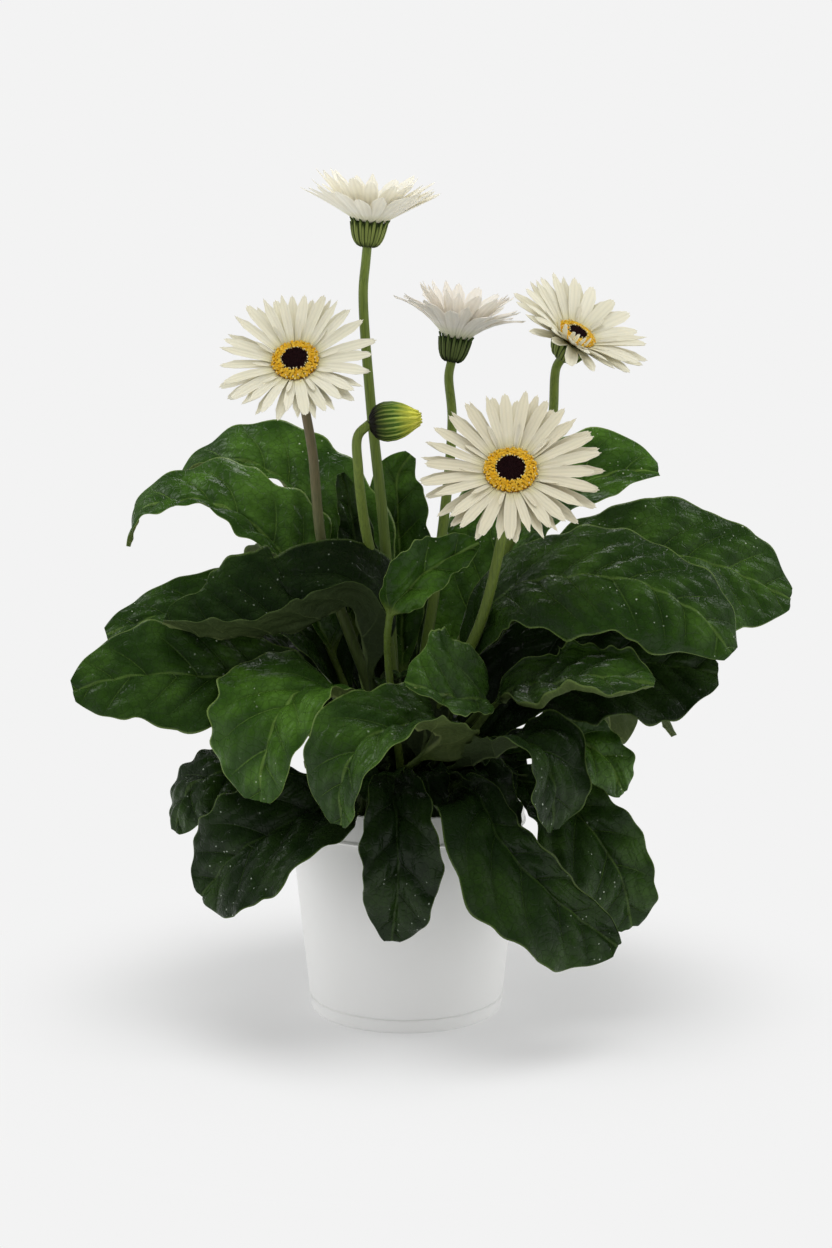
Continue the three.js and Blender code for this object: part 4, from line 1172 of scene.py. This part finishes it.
# %% Floret skins
floret_skin = soft_skin("floret_golden", ("#B87808", "#F0B414", "#F8D452"), 0.6, 0.9, 0.1)
border_skin = soft_skin("floret_golden_bed", ("#6A4408", "#946008", "#84560A"), 0.8, 0.5, 0.1)
style_skin = soft_skin("style_pale_yellow", ("#C8B050", "#EFE0A0", "#F4E8BC"), 0.6, 0.9, 0.1)
eye_skin = soft_skin("eye_velvet_maroon", ("#0F0507", "#2A1013", "#1A090C"), 0.7, 0.8, 0.1)

# %% A spiral of shapes
# Points at the golden angle, evenly dense between two radii, each with an upright shape.
GOLDEN_ANGLE = math.radians(137.508)
spiral_tree, value = new_tree(
    "spiral_of_shapes",
    {
        "Count": 100, "Inner radius": 0.005, "Outer radius": 0.012, "Inner height": 0.002,
        "Outer height": 0.001, "Outward lean": 0.3, "Smallest": 0.8, "Largest": 1.1, "Seed": 1,
        "Shape": "Object", "Material": "Material",
    },
)
rows = (
    ("uneven", "RANDOM", -0.06, 0.06, 5),
    ("long", "RANDOM", "Smallest", "Largest", 15),
    ("wide", "MULTIPLY", "long", 1.0),
    ("tall", "MULTIPLY", "long", 1.0),
    ("tint", "RANDOM", 0.0, 1.0, 25),
    ("sway", "RANDOM", -0.25, 0.25, 35),
    ("place", "ADD", "Index", 0.5),
    ("share", "DIVIDE", "place", "Count"),
    ("inner", "MULTIPLY", "Inner radius", "Inner radius"),
    ("outer", "MULTIPLY", "Outer radius", "Outer radius"),
    ("spread", "SUBTRACT", "outer", "inner"),
    ("squared", "MULTIPLY_ADD", "share", "spread", "inner"),
    ("radius", "SQRT", "squared"),
    ("turn", "MULTIPLY_ADD", "Index", GOLDEN_ANGLE, "uneven"),
    *ROUND_ROWS,
    ("drop", "SUBTRACT", "Outer height", "Inner height"),
    ("z", "MULTIPLY_ADD", "share", "drop", "Inner height"),
    ("pitch", "MULTIPLY_ADD", "share", "Outward lean", "sway"),
)
pattern(spiral_tree, value, rows, value["Seed"])


def spiral_of(name, shape, skin, seed, count, radii, heights, lean, sizes):
    """Copies of a shape between two radii and heights, in mm, that lean outwards more towards the outside."""
    values = {"Count": count, "Outward lean": lean, "Seed": seed, "Shape": shape, "Material": skin}
    values.update({"Smallest": sizes[0], "Largest": sizes[1]})
    for label, (inner, outer) in (("radius", radii), ("height", heights)):
        values.update({"Inner " + label: inner * MM, "Outer " + label: outer * MM})
    return shaded_smooth(grow(name, spiral_tree, values))


print("the spiral turns by", round(math.degrees(GOLDEN_ANGLE), 3), "degrees a step")


# %% Small shapes
def star(depth, points):
    """A wobble that turns a round rim into a star, more so towards the top."""

    def wobble(radius, height, turn):
        """The rim's radius, which goes in and out round the turn."""
        share = (height - height.min()) / (height.max() - height.min())
        return radius * (1 + depth * share * np.cos(points * turn)), height

    return wobble


FLORET_LINE = [[0, -0.6], [0.42, -0.6], [0.5, 0.7], [0.85, 1.5], [0.5, 1.35], [0, 0.9]]
EYE_FLORET_LINE = [[0, -0.4], [0.5, -0.4], [0.55, 0.5], [0.25, 1.0], [0, 1.1]]
STYLE_LINE = [[0, -0.4], [0.2, -0.4], [0.2, 1.5], [0.42, 2.0], [0, 2.2]]
floret = turned_shape("floret", FLORET_LINE, 10, star(0.3, 5))
eye_floret = turned_shape("eye_floret", EYE_FLORET_LINE, 6)
style = turned_shape("style", STYLE_LINE, 5)
print("a floret has", len(floret.data.polygons), "faces")

# %% Discs and eyes
FLORET_AREA, EYE_FLORET_AREA = 1.05, 0.75  # mm2 for each floret
DISC_HEIGHT = 2.2
STYLES = 60  # at the disc's ragged border
EYE_STYLES = 34  # round the eye
EYE_SPREAD = 0.7  # how far the eye's buds reach over the golden ring, in mm

for seed, (name, head) in enumerate(HEADS.items(), 1):
    hub, eye, top = head["hub"], head["eye"], DISC_HEIGHT
    reach = eye + EYE_SPREAD
    count = int(math.pi * (hub**2 - eye**2) / FLORET_AREA)
    buds = int(math.pi * reach**2 / EYE_FLORET_AREA)
    golden, border = (reach - 0.2, 0.95 * hub - 0.4), (0.88 * hub - 0.4, hub - 0.1)
    round_eye = (reach - 0.7, reach + 0.5)
    parts = {"ring": [], "centre": []}
    # Each spiral: its piece, shape, skin, further seed, number, radii, heights, lean and sizes.
    for label, *rule in (
        ("ring", floret, floret_skin, 0, count, golden, (top + 0.1, 1.1), 0.8, (0.55, 0.95)),
        ("ring", style, style_skin, 2, STYLES, border, (1.4, 0.8), 1.1, (0.6, 1.1)),
        ("ring", style, style_skin, 2, EYE_STYLES, round_eye, (top, top - 0.2), -0.6, (0.6, 1.1)),
        ("centre", eye_floret, eye_skin, 1, buds, (0.0, reach), (top - 0.2, top + 0.1), 0.2, (0.8, 1.1)),
    ):
        shape, skin, more, *rest = rule
        parts[label].append(spiral_of(f"{name}_{label}", shape, skin, seed * 10 + more, *rest))
    bed_line = [[0, 0], [hub - 0.3, 0], [hub - 0.7, 0.7], [eye + 0.3, top], [0, top - 0.4]]
    dome_line = [[0, top - 0.3], [eye, top - 0.3], [eye - 0.2, top + 0.1], [0, top]]
    parts["ring"].append(turned_shape(name + "_bed", bed_line, 48, skins=[border_skin]))
    parts["centre"].append(turned_shape(name + "_dome", dome_line, 32, skins=[eye_skin]))
    put(joined(name + "_ring", parts["ring"], head["matrix"]), name + "_disc")
    put(joined(name + "_centre", parts["centre"], head["matrix"]), name + "_eye")
    print(name, "has", count, "golden florets")

for shape in (floret, eye_floret, style):
    bpy.data.objects.remove(shape)

# %% [markdown]
# ## Calyx
#
# Under the petals sits a cup of narrow downy bracts in two rings: each has a light rib, darker edges and a
# pointed tip that stands just clear of the petals. One bract is modelled along the cup's own outline, so
# copies of it turned about the head's axis lie on the cup exactly.

# %% Bract skins
BRACT_COLOURS = {
    "green": ("#414B24", "#7B8946", "#8A9650", "#38451E", "#3E5420"),
    "dark": ("#262D18", "#5C6C3A", "#6A7844", "#222C14", "#46602A"),
}
calyx_skins = {
    kind: soft_skin("bract_downy_" + kind, colours, 0.6, 0.9, 0.3) for kind, colours in BRACT_COLOURS.items()
}
cup_skin = soft_skin("calyx_cup_green", ("#3E4A22", "#3A4A20", "#34441C"), 0.7, 0.5, 0.1)

# %% One bract
BRACT_COLUMNS = np.array([-1, -0.5, 0, 0.5, 1])
BRACT_UNDERSIDE = 0.15  # mm that the underside bulges


def bract(name, outline, width, thickness=0.7, rows=9, tip=1.0):
    """A pointed strip along an outline of [radius, height] points, at azimuth 0, thickest in its middle."""
    outline = np.array(outline, float)
    run = np.concatenate([[0], np.cumsum(np.linalg.norm(np.diff(outline, axis=0), axis=1))])
    t = np.linspace(0, 1, rows)
    place = np.stack([np.interp(t * run[-1], run, outline[:, k]) for k in (0, 1)], 1)
    slope = np.gradient(place, axis=0)
    slope /= np.linalg.norm(slope, axis=1)[:, None]
    outward = np.stack([slope[:, 1], -slope[:, 0]], 1)
    half = width / 2 * np.clip(0.5 + 0.5 * np.sin(math.pi * t / 1.3) - 0.8 * tip * t**8, 0.06, None)
    q = BRACT_COLUMNS
    points = []
    for side, depth in ((1, thickness), (-1, BRACT_UNDERSIDE)):
        bulge = side * depth * (1 - q**2)[None, :] + (0.25 * (1 - np.abs(q)) ** 4)[None, :] * (side > 0)
        out, up = (place[:, k : k + 1] + bulge * outward[:, k : k + 1] for k in (0, 1))
        points.append(np.stack([out, q[None, :] * half[:, None], up], 2).reshape(-1, 3))
    faces = closed_grid(rows, len(q), sides=False)
    # The long edges meet in a line, so the two faces share its points.
    low = np.arange(rows * len(q)).reshape(rows, len(q)) + rows * len(q)
    for end in (0, -1):
        faces[np.isin(faces, low[:, end])] -= rows * len(q)
    faces = [tuple(dict.fromkeys(face)) for face in faces.tolist()]
    spread = np.stack(np.broadcast_arrays((q[None, :] + 1) / 2, t[:, None]), 2).reshape(-1, 2)
    double = np.tile(spread, (2, 1))
    uv = [double[i] for face in faces for i in face]
    return mesh_object(name, np.vstack(points), faces, {"strap": uv})


def bract_ring(name, line, width, count, shift, seed, skin, **look):
    """Copies of one bract turned about the axis. look: its thickness, rows and tip."""
    shape = bract(name + "_one", line, width, **look)
    values = {"Radius": 0.0, "Turn jitter": 0.06, "Shortest": 0.99, "Longest": 1.02}
    return shaded_smooth(ring_of(name, [shape] * 3, count, shift, seed, skin, values))


print("a bract is", len(BRACT_COLUMNS), "points wide")

# %% Calyx of every head
BRACTS = 15
CALYX_SIDE = ((0.5, 0.94), (0.66, 0.8), (0.79, 0.55), (0.87, 0.28), (0.92, 0.04))  # of the hub and the height
BRACT_SHARES = (0.9, 0.62)  # of the room that each bract has, in the inner and the outer ring

for seed, (name, head) in enumerate(HEADS.items(), 1):
    hub, top = head["hub"], CALYX_TOP
    side = [[CALYX_FOOT, top - CALYX_HEIGHT]]
    side += [[share * hub, top - drop * CALYX_HEIGHT] for share, drop in CALYX_SIDE]
    cup_line = [[0, top - CALYX_HEIGHT], *side, [0.88 * hub, top], [0, top]]
    inner_line = side + [[0.96 * hub, top + 0.8], [1.05 * hub, top + 2.6]]
    outer_line = [[r + 0.4, z - 0.3] for r, z in side] + [[0.93 * hub + 0.4, top - 0.2]]
    room = 2 * math.pi * hub / BRACTS
    skin = calyx_skins[head.get("calyx", "green")]
    parts = [turned_shape(name + "_cup", cup_line, 40, skins=[cup_skin])]
    for k, (line, share) in enumerate(zip((inner_line, outer_line), BRACT_SHARES)):
        ring = bract_ring(f"{name}_bracts_{k}", line, share * room, BRACTS, 0.5 * k, seed + 9 * k, skin)
        parts.append(ring)
    put(joined(name + "_cup_of_bracts", parts, head["matrix"]), name + "_calyx")
print("calyxes have", 2 * BRACTS, "bracts each")

# %% [markdown]
# ## Stems
#
# A flower stem is a leafless round stalk, a little thicker at its foot, faintly ribbed and covered in very
# short down. It follows a curve from the crown to its head, so a third tree sweeps a circle along that
# curve and tapers it. The ribs are too fine to model at this size, and are drawn as long streaks.


# %% Stem skin
def stem_skin(name, low, high, streak):
    """Green at its foot, with its other colour towards the head, in lengthwise streaks."""
    made, tree = blank_material(name)
    spot = add(tree, "ShaderNodeTexCoord", out="Object")
    tall = add(tree, "ShaderNodeMapping", {"Vector": spot, "Scale": (1.0, 1.0, 0.06)})
    ribs = add(tree, "ShaderNodeTexNoise", {"Vector": tall, "Scale": 1400.0, "Detail": 2.0})
    down = add(tree, "ShaderNodeTexNoise", {"Vector": spot, "Scale": 2200.0, "Detail": 1.0})
    along = add(tree, "ShaderNodeAttribute", out="Fac", attribute_name="along")
    rise = add(tree, "ShaderNodeMapRange", {0: along, 1: 0.3, 2: 0.95}, interpolation_type="SMOOTHSTEP")
    ends = {0: rise, 6: hex_colour(low), 7: hex_colour(high)}
    base = add(tree, "ShaderNodeMix", ends, out=2, data_type="RGBA")
    band = add(tree, "ShaderNodeMapRange", {0: ribs, 1: 0.4, 2: 0.7, 3: 0.0, 4: 0.6})
    streaks = {0: band, 6: base, 7: hex_colour(streak)}
    height = add(tree, "ShaderNodeMath", {0: ribs, 1: down}, operation="ADD")
    look = {
        "Base Color": add(tree, "ShaderNodeMix", streaks, out=2, data_type="RGBA"),
        "Roughness": 0.5,
        "IOR": 1.4,
        "Sheen Weight": 0.15,
        "Sheen Roughness": 0.4,
        "Normal": add(tree, "ShaderNodeBump", {"Height": height, "Strength": 0.5, "Distance": 0.25 * MM}),
    }
    add(tree, "ShaderNodeOutputMaterial", {"Surface": add(tree, "ShaderNodeBsdfPrincipled", look)})
    return made


green_stem = stem_skin("stem_downy_green", "#54691F", "#70822F", "#44581C")
brown_stem = stem_skin("stem_downy_brown", "#5A7030", "#6E5F45", "#4B5330")
print("stem skins ready")

# %% A swept stem
# A circle swept along the path, thinner towards the end.
FOOT_RADIUS, STEM_NECK_RADIUS, STEM_SIDES = 3.7, 2.7, 16
stem_tree, value = new_tree(
    "tapered_stem",
    {"Path": "Geometry", "Foot radius": 0.0036, "Neck radius": 0.0025, "Sides": 16, "Material": "Material"},
)
curve = add(stem_tree, "GeometryNodeMeshToCurve", {0: value["Path"]})
along = add(stem_tree, "GeometryNodeSplineParameter", out="Factor")
mark = {"Geometry": curve, "Name": "along", "Value": along}
marked = add(stem_tree, "GeometryNodeStoreNamedAttribute", mark, data_type="FLOAT", domain="POINT")
radius = add(stem_tree, "ShaderNodeMapRange", {0: along, 3: value["Foot radius"], 4: value["Neck radius"]})
circle = add(stem_tree, "GeometryNodeCurvePrimitiveCircle", {"Resolution": value["Sides"], "Radius": 1.0})
sweep = {"Curve": marked, "Profile Curve": circle, "Scale": radius, "Fill Caps": True}
finish_tree(stem_tree, add(stem_tree, "GeometryNodeCurveToMesh", sweep), value["Material"])
print("stem tree has", len(stem_tree.nodes), "nodes")

# %% Stems of every head
STEM_STEPS = 14
UPRIGHT = 30  # mm that a stem rises straight from its seat


def stem(name, place, via, top, node_name, skin):
    """A stem from its seat, through points in millimetres, to the top."""
    foot = seat(*place)
    places = smooth_curve([foot, foot + [0, 0, UPRIGHT], *via, top], STEM_STEPS) * MM
    line = bpy.data.meshes.new(name)
    line.from_pydata(places.tolist(), [(i, i + 1) for i in range(len(places) - 1)], [])
    values = {"Foot radius": FOOT_RADIUS * MM, "Neck radius": STEM_NECK_RADIUS * MM}
    values.update({"Sides": STEM_SIDES, "Material": skin})
    return put(shaded_smooth(grow(name, stem_tree, values, line)), node_name)


for name, head in HEADS.items():
    facing = np.array(Vector(head["facing"]).normalized())
    neck = np.array(head["centre"]) + facing * (CALYX_TOP - CALYX_HEIGHT - CLEARANCE)
    skin = brown_stem if head.get("brown") else green_stem
    via = [*head["via"], neck - 9 * facing]
    made = stem(name + "_stalk", head["seat"], via, neck, name + "_stem", skin)
    print(name, "stem has", len(made.data.polygons), "faces")

# %% [markdown]
# ## Bud
#
# The bud lies level on a bent stem. Dark green bracts with pale streaks wrap it, and at its end the folded
# petals show as a bundle of yellow-green points.

# %% Bud skins
BUD_COLOURS = ("#16140C", "#45641F", "#587A2A", "#A8BC5C", "#E6E656")  # pale edges and a lime tip
bud_bract_skin = soft_skin("bud_bract_green", BUD_COLOURS, 0.5, 0.8, 0.2, root_end=0.6, tip_start=0.58)
bud_core_skin = soft_skin("bud_core_green", ("#13150A", "#2A3D12", "#34491A"), 0.6, 0.5, 0.1)
bud_tip_skin = soft_skin("bud_tip_lime", ("#A8B42C", "#E4E256", "#ECEA84", "#C4C63A"), 0.5, 0.7, 0.2)

# %% Bud
BUD_FOOT, BUD_FACING, BUD_SEAT = (-20, -20, 348), (0.99, 0, 0.11), (2, 250)
BUD_VIA = [(-13.5, 2, 240), (-23.5, -8, 288), (-27, -17, 322), (-27, -19, 341)]
BUD_BRACTS = 13
CORE_LINE = [[3.2, 0], [8.2, 3], [10.4, 8], [10.1, 14], [8.5, 19]]
TIP_LINE = [[8.1, 19.3], [6.2, 23], [3.2, 27], [1, 28.8]]

bud_matrix = head_matrix(BUD_FOOT, BUD_FACING)
long_line = CORE_LINE + [[6.9, 21.8], [4.6, 25.4], [2.9, 27.8]]
next_line = [[r + 0.3, z] for r, z in CORE_LINE] + [[7.1, 21.8], [5.4, 24.6]]
outer_tips = [[7.8, 19.3], [6.4, 22.5], [4.8, 25.5], [3.6, 27.8]]
inner_tips = [[6, 20], [4.6, 24], [3.0, 27], [2.2, 29.2]]
scale_look = {"thickness": 0.5, "rows": 13}
tip_look = {"thickness": 0.6, "rows": 8, "tip": 0.7}
scales = [
    turned_shape("bud_core", [[0, 0], *CORE_LINE, [0, 19]], 40, skins=[bud_core_skin]),
    bract_ring("bud_long", long_line, 5.2, BUD_BRACTS, 0.0, 91, bud_bract_skin, **scale_look),
    bract_ring("bud_next", next_line, 3.6, BUD_BRACTS, 0.5, 92, bud_bract_skin, **scale_look),
]
put(joined("bud_scales", scales, bud_matrix), "bud_bracts")
tips = [
    turned_shape("bud_tip_core", [[0, 19.3], *TIP_LINE, [0, 28.9]], 32, skins=[bud_tip_skin]),
    bract_ring("tips_outer", outer_tips, 3.2, 11, 0.0, 94, bud_tip_skin, **tip_look),
    bract_ring("tips_inner", inner_tips, 2.6, 8, 0.5, 95, bud_tip_skin, **tip_look),
]
put(joined("bud_points", tips, bud_matrix), "bud_tip")
bud_neck = np.array(BUD_FOOT) - CLEARANCE * np.array(Vector(BUD_FACING).normalized())
stem("bud_stalk", BUD_SEAT, BUD_VIA, bud_neck, "bud_stem", green_stem)
print("bud has", 2 * BUD_BRACTS, "bracts")

# %% [markdown]
# ## Crown and soil
#
# The stalks leave the plant's heart, the crown: a low fibrous mound with brown-green sheaths round it. It
# sits in peat compost, which is dark, crumbly and matt. A fourth tree scatters crumbs over the compost.

# %% Crown
crown_skin = soft_skin("crown_fibrous_green", ("#4A3C22", "#75803F", "#5A5A2C"), 0.75, 0.8, 0.5)
CROWN_RADII, CROWN_DEPTH = (32, 22.5, 14.2), 16
SHEATHS = 21
crown_foot = CROWN_TOPS[0] - CROWN_DEPTH
widest = CROWN_RADII[0]
steps = [[widest - 4, crown_foot], [widest, crown_foot + 5]]
for k, (radius, top) in enumerate(zip(CROWN_RADII, CROWN_TOPS)):
    if k:
        steps.append([radius + 0.8, CROWN_TOPS[k - 1] + 0.1])
    steps += [[radius, top - 0.6], [radius - 0.6, top]]


def furrowed(radius, height, turn):
    """Furrows down the mound's sides."""
    return radius * (1 + 0.012 * np.cos(23 * turn + height)), height


mound_line = [[0, crown_foot], *steps, [0, CROWN_TOPS[-1]]]
mound = turned_shape("crown_mound", mound_line, 96, furrowed, skins=[crown_skin])
sheath_line = [[widest + 0.2, 113.5], [widest + 0.5, 117], [widest - 0.4, 121]]
sheaths = bract_ring("sheaths", sheath_line, 8, SHEATHS, 0.0, 71, crown_skin, thickness=0.9, rows=7)
put(joined("crown_heart", [mound, sheaths, *heart]), "crown")
print("crown has", SHEATHS, "sheaths and", len(heart), "young leaves")

# %% Crumbs
# Crumbs on the ground's upper face, each turned and sized at random.
soil_skin = soft_skin("peat_compost", ("#1E1611", "#2B2019", "#43342A"), 0.95, 1.0, 0.5)
crumb_tree, value = new_tree(
    "scattered_crumbs",
    {
        "Ground": "Geometry", "Density": 40000.0, "Lowest": 0.11, "Smallest": 0.4, "Largest": 1.4, "Seed": 3,
        "Shape A": "Object", "Shape B": "Object", "Material": "Material",
    },
)
place = add(crumb_tree, "ShaderNodeSeparateXYZ", {0: add(crumb_tree, "GeometryNodeInputPosition")}, out=2)
facing = add(crumb_tree, "ShaderNodeSeparateXYZ", {0: add(crumb_tree, "GeometryNodeInputNormal")}, out=2)
high = add(crumb_tree, "FunctionNodeCompare", {0: place, 1: value["Lowest"]}, operation="GREATER_THAN")
level = add(crumb_tree, "FunctionNodeCompare", {0: facing, 1: 0.3}, operation="GREATER_THAN")
both = add(crumb_tree, "FunctionNodeBooleanMath", {0: high, 1: level}, operation="AND")
spread = {"Mesh": value["Ground"], "Selection": both, "Density": value["Density"], "Seed": value["Seed"]}
points = add(crumb_tree, "GeometryNodeDistributePointsOnFaces", spread)
chance = {0: (0, 0, 0), 1: (math.tau,) * 3, "Seed": value["Seed"]}
turn = add(crumb_tree, "FunctionNodeRandomValue", chance, data_type="FLOAT_VECTOR")
rotation = add(crumb_tree, "FunctionNodeEulerToRotation", {0: turn})
span = {2: value["Smallest"], 3: value["Largest"], "Seed": 7}
size = add(crumb_tree, "FunctionNodeRandomValue", span, out=1)
value["tint"] = add(crumb_tree, "FunctionNodeRandomValue", {2: 0.0, 3: 1.0, "Seed": 11}, out=1)
whole = add(crumb_tree, "GeometryNodeJoinGeometry", out=None)
for geometry in (lay_copies(crumb_tree, value, points, rotation, size, 9), value["Ground"]):
    crumb_tree.links.new(geometry, whole.inputs[0])
finish_tree(crumb_tree, whole.outputs[0], value["Material"])
print("crumb tree has", len(crumb_tree.nodes), "nodes")

# %% Soil
POT_HEIGHT, RIM_HEIGHT = 131, 17
BASE_RADIUS, WALL_TOP_RADIUS, RIM_RADIUS = 56.5, 68.4, 70
WALL, POT_FLOOR, FOOT_BAND = 1.8, 2.5, 9
BEAD = POT_HEIGHT - RIM_HEIGHT
SOIL_LEVEL = 114
CRUMB_DENSITY, CRUMB_SIZES = 60000.0, (0.45, 1.5)  # crumbs per square metre, and how they are scaled


def pot_radius(z):
    """The wall's outer radius at a height."""
    return BASE_RADIUS + (WALL_TOP_RADIUS - BASE_RADIUS) * z / BEAD


def crumbly(radius, height, turn):
    """Low lumps on the ground's upper face."""
    lumps = np.sin(radius * 0.55 + 2 * np.sin(3 * turn)) * np.cos(7 * turn + radius * 0.2)
    return radius, height + 0.9 * lumps * (height > SOIL_LEVEL - 2)


def lump(name, seed):
    """A crumb about 2 mm across: a ball with its points pushed in and out."""
    random = np.random.default_rng(seed)
    shape = turned_shape(name, [[0, -1], [0.7, -0.7], [1, 0], [0.7, 0.7], [0, 1]], 6)
    for vertex in shape.data.vertices:
        vertex.co *= random.uniform(0.7, 1.15)
    return shape


inset, low = WALL + CLEARANCE, POT_FLOOR + CLEARANCE
hollow, hollow_foot = widest + 0.8, crown_foot - CLEARANCE
shoulder = pot_radius(SOIL_LEVEL - 4) - inset
top_face = [[r, SOIL_LEVEL + 0.8] for r in np.linspace(shoulder - 5, hollow + 0.4, 16)]
ground_line = [[0, low], [pot_radius(POT_FLOOR) - inset, low], [shoulder, SOIL_LEVEL - 4], *top_face]
ground_line += [[hollow, SOIL_LEVEL - 1], [hollow, hollow_foot], [0, hollow_foot]]
ground = turned_shape("soil_ground", ground_line, 120, crumbly)
crumbs = [lump("crumb_a", 4), lump("crumb_b", 5)]
values = {"Density": CRUMB_DENSITY, "Lowest": (SOIL_LEVEL - 1) * MM, "Seed": 3, "Material": soil_skin}
values.update(zip(("Smallest", "Largest", "Shape A", "Shape B"), (*CRUMB_SIZES, *crumbs)))
soil = grow("soil_surface", crumb_tree, values, ground.data)
for shape in (ground, *crumbs):
    bpy.data.objects.remove(shape)
put(shaded_smooth(soil), "soil")
print("soil has", len(soil.data.polygons), "faces")

# %% [markdown]
# ## Pot
#
# The pot is injection-moulded polypropylene: thin, white and satin, with a fine even texture from the
# mould. A plain band stands a little proud of the wall over a small step, a shallow groove runs round the
# foot, and four holes in the floor let water out. It is a turned body, and the holes are cut with a
# Boolean modifier.

# %% Pot plastic
GRAIN = 1600.0  # waves of the texture per metre
pot_plastic, tree = blank_material("moulded_polypropylene")
spot = add(tree, "ShaderNodeTexCoord", out="Object")
texture = add(tree, "ShaderNodeTexNoise", {"Vector": spot, "Scale": GRAIN, "Detail": 2.0})
cloud = add(tree, "ShaderNodeTexNoise", {"Vector": spot, "Scale": 18.0, "Detail": 2.0})
whites = {0: cloud, 6: hex_colour("#EEEEED"), 7: hex_colour("#E9E9E7")}
look = {
    "Base Color": add(tree, "ShaderNodeMix", whites, out=2, data_type="RGBA"),
    "Roughness": add(tree, "ShaderNodeMapRange", {0: cloud, 3: 0.42, 4: 0.5}),
    "IOR": 1.49,
    "Normal": add(tree, "ShaderNodeBump", {"Height": texture, "Strength": 0.25, "Distance": 0.08 * MM}),
}
add(tree, "ShaderNodeOutputMaterial", {"Surface": add(tree, "ShaderNodeBsdfPrincipled", look)})
print("pot plastic has a", 1000 / GRAIN, "mm texture")

# %% Pot
DRAINS, DRAIN_RADIUS, DRAIN_RING = 4, 3.5, 44
band_radius = pot_radius(FOOT_BAND)
pot_line = [
    [0, 0], [BASE_RADIUS - 2.2, 0], [BASE_RADIUS - 1.2, 0.3], [BASE_RADIUS - 0.3, 1.2],
    [pot_radius(2.4), 2.4], [band_radius + 0.3, FOOT_BAND - 1.1], [band_radius + 0.2, FOOT_BAND - 0.7],
    [band_radius - 0.5, FOOT_BAND - 0.1], [band_radius - 0.1, FOOT_BAND + 0.7],
    [pot_radius(FOOT_BAND + 3), FOOT_BAND + 3], [pot_radius(BEAD - 3), BEAD - 3],
    [pot_radius(BEAD), BEAD - 1.4], [RIM_RADIUS + 0.1, BEAD - 0.6], [RIM_RADIUS + 0.6, BEAD],
    [RIM_RADIUS + 0.4, BEAD + 0.8], [RIM_RADIUS - 0.4, BEAD + 1.6], [RIM_RADIUS - 0.2, POT_HEIGHT - 2],
    [RIM_RADIUS - 0.1, POT_HEIGHT - 0.5], [RIM_RADIUS - 0.6, POT_HEIGHT], [RIM_RADIUS - 1.3, POT_HEIGHT],
    [RIM_RADIUS - WALL, POT_HEIGHT - 0.6], [pot_radius(BEAD) - WALL, BEAD],
    [pot_radius(POT_FLOOR) - WALL, POT_FLOOR], [0, POT_FLOOR],
]
pot = mesh_object("pot_shell", *lathe(pot_line, 160))
cutters = []
drain_line = [[0, -4], [DRAIN_RADIUS, -4], [DRAIN_RADIUS, 8], [0, 8]]
for k in range(DRAINS):
    turn = 2 * math.pi * (k + 0.5) / DRAINS
    points, faces = lathe(drain_line, 24)
    points += [DRAIN_RING * math.cos(turn), DRAIN_RING * math.sin(turn), 0]
    cutters.append(mesh_object(f"drain_{k}", points, faces))
cutter = joined("drains", cutters)
cut = pot.modifiers.new("drain holes", "BOOLEAN")
cut.object = cutter
cut.operation = "DIFFERENCE"
settled(pot)
bpy.data.objects.remove(cutter)
pot.data.materials.append(pot_plastic)
put(shaded_smooth(pot, crease=35), "pot")
print("pot has", len(pot.data.polygons), "faces and", DRAINS, "drain holes")

# %% Pieces and the end
print(ride_count, "pieces stand for", len(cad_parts), "CAD nodes")
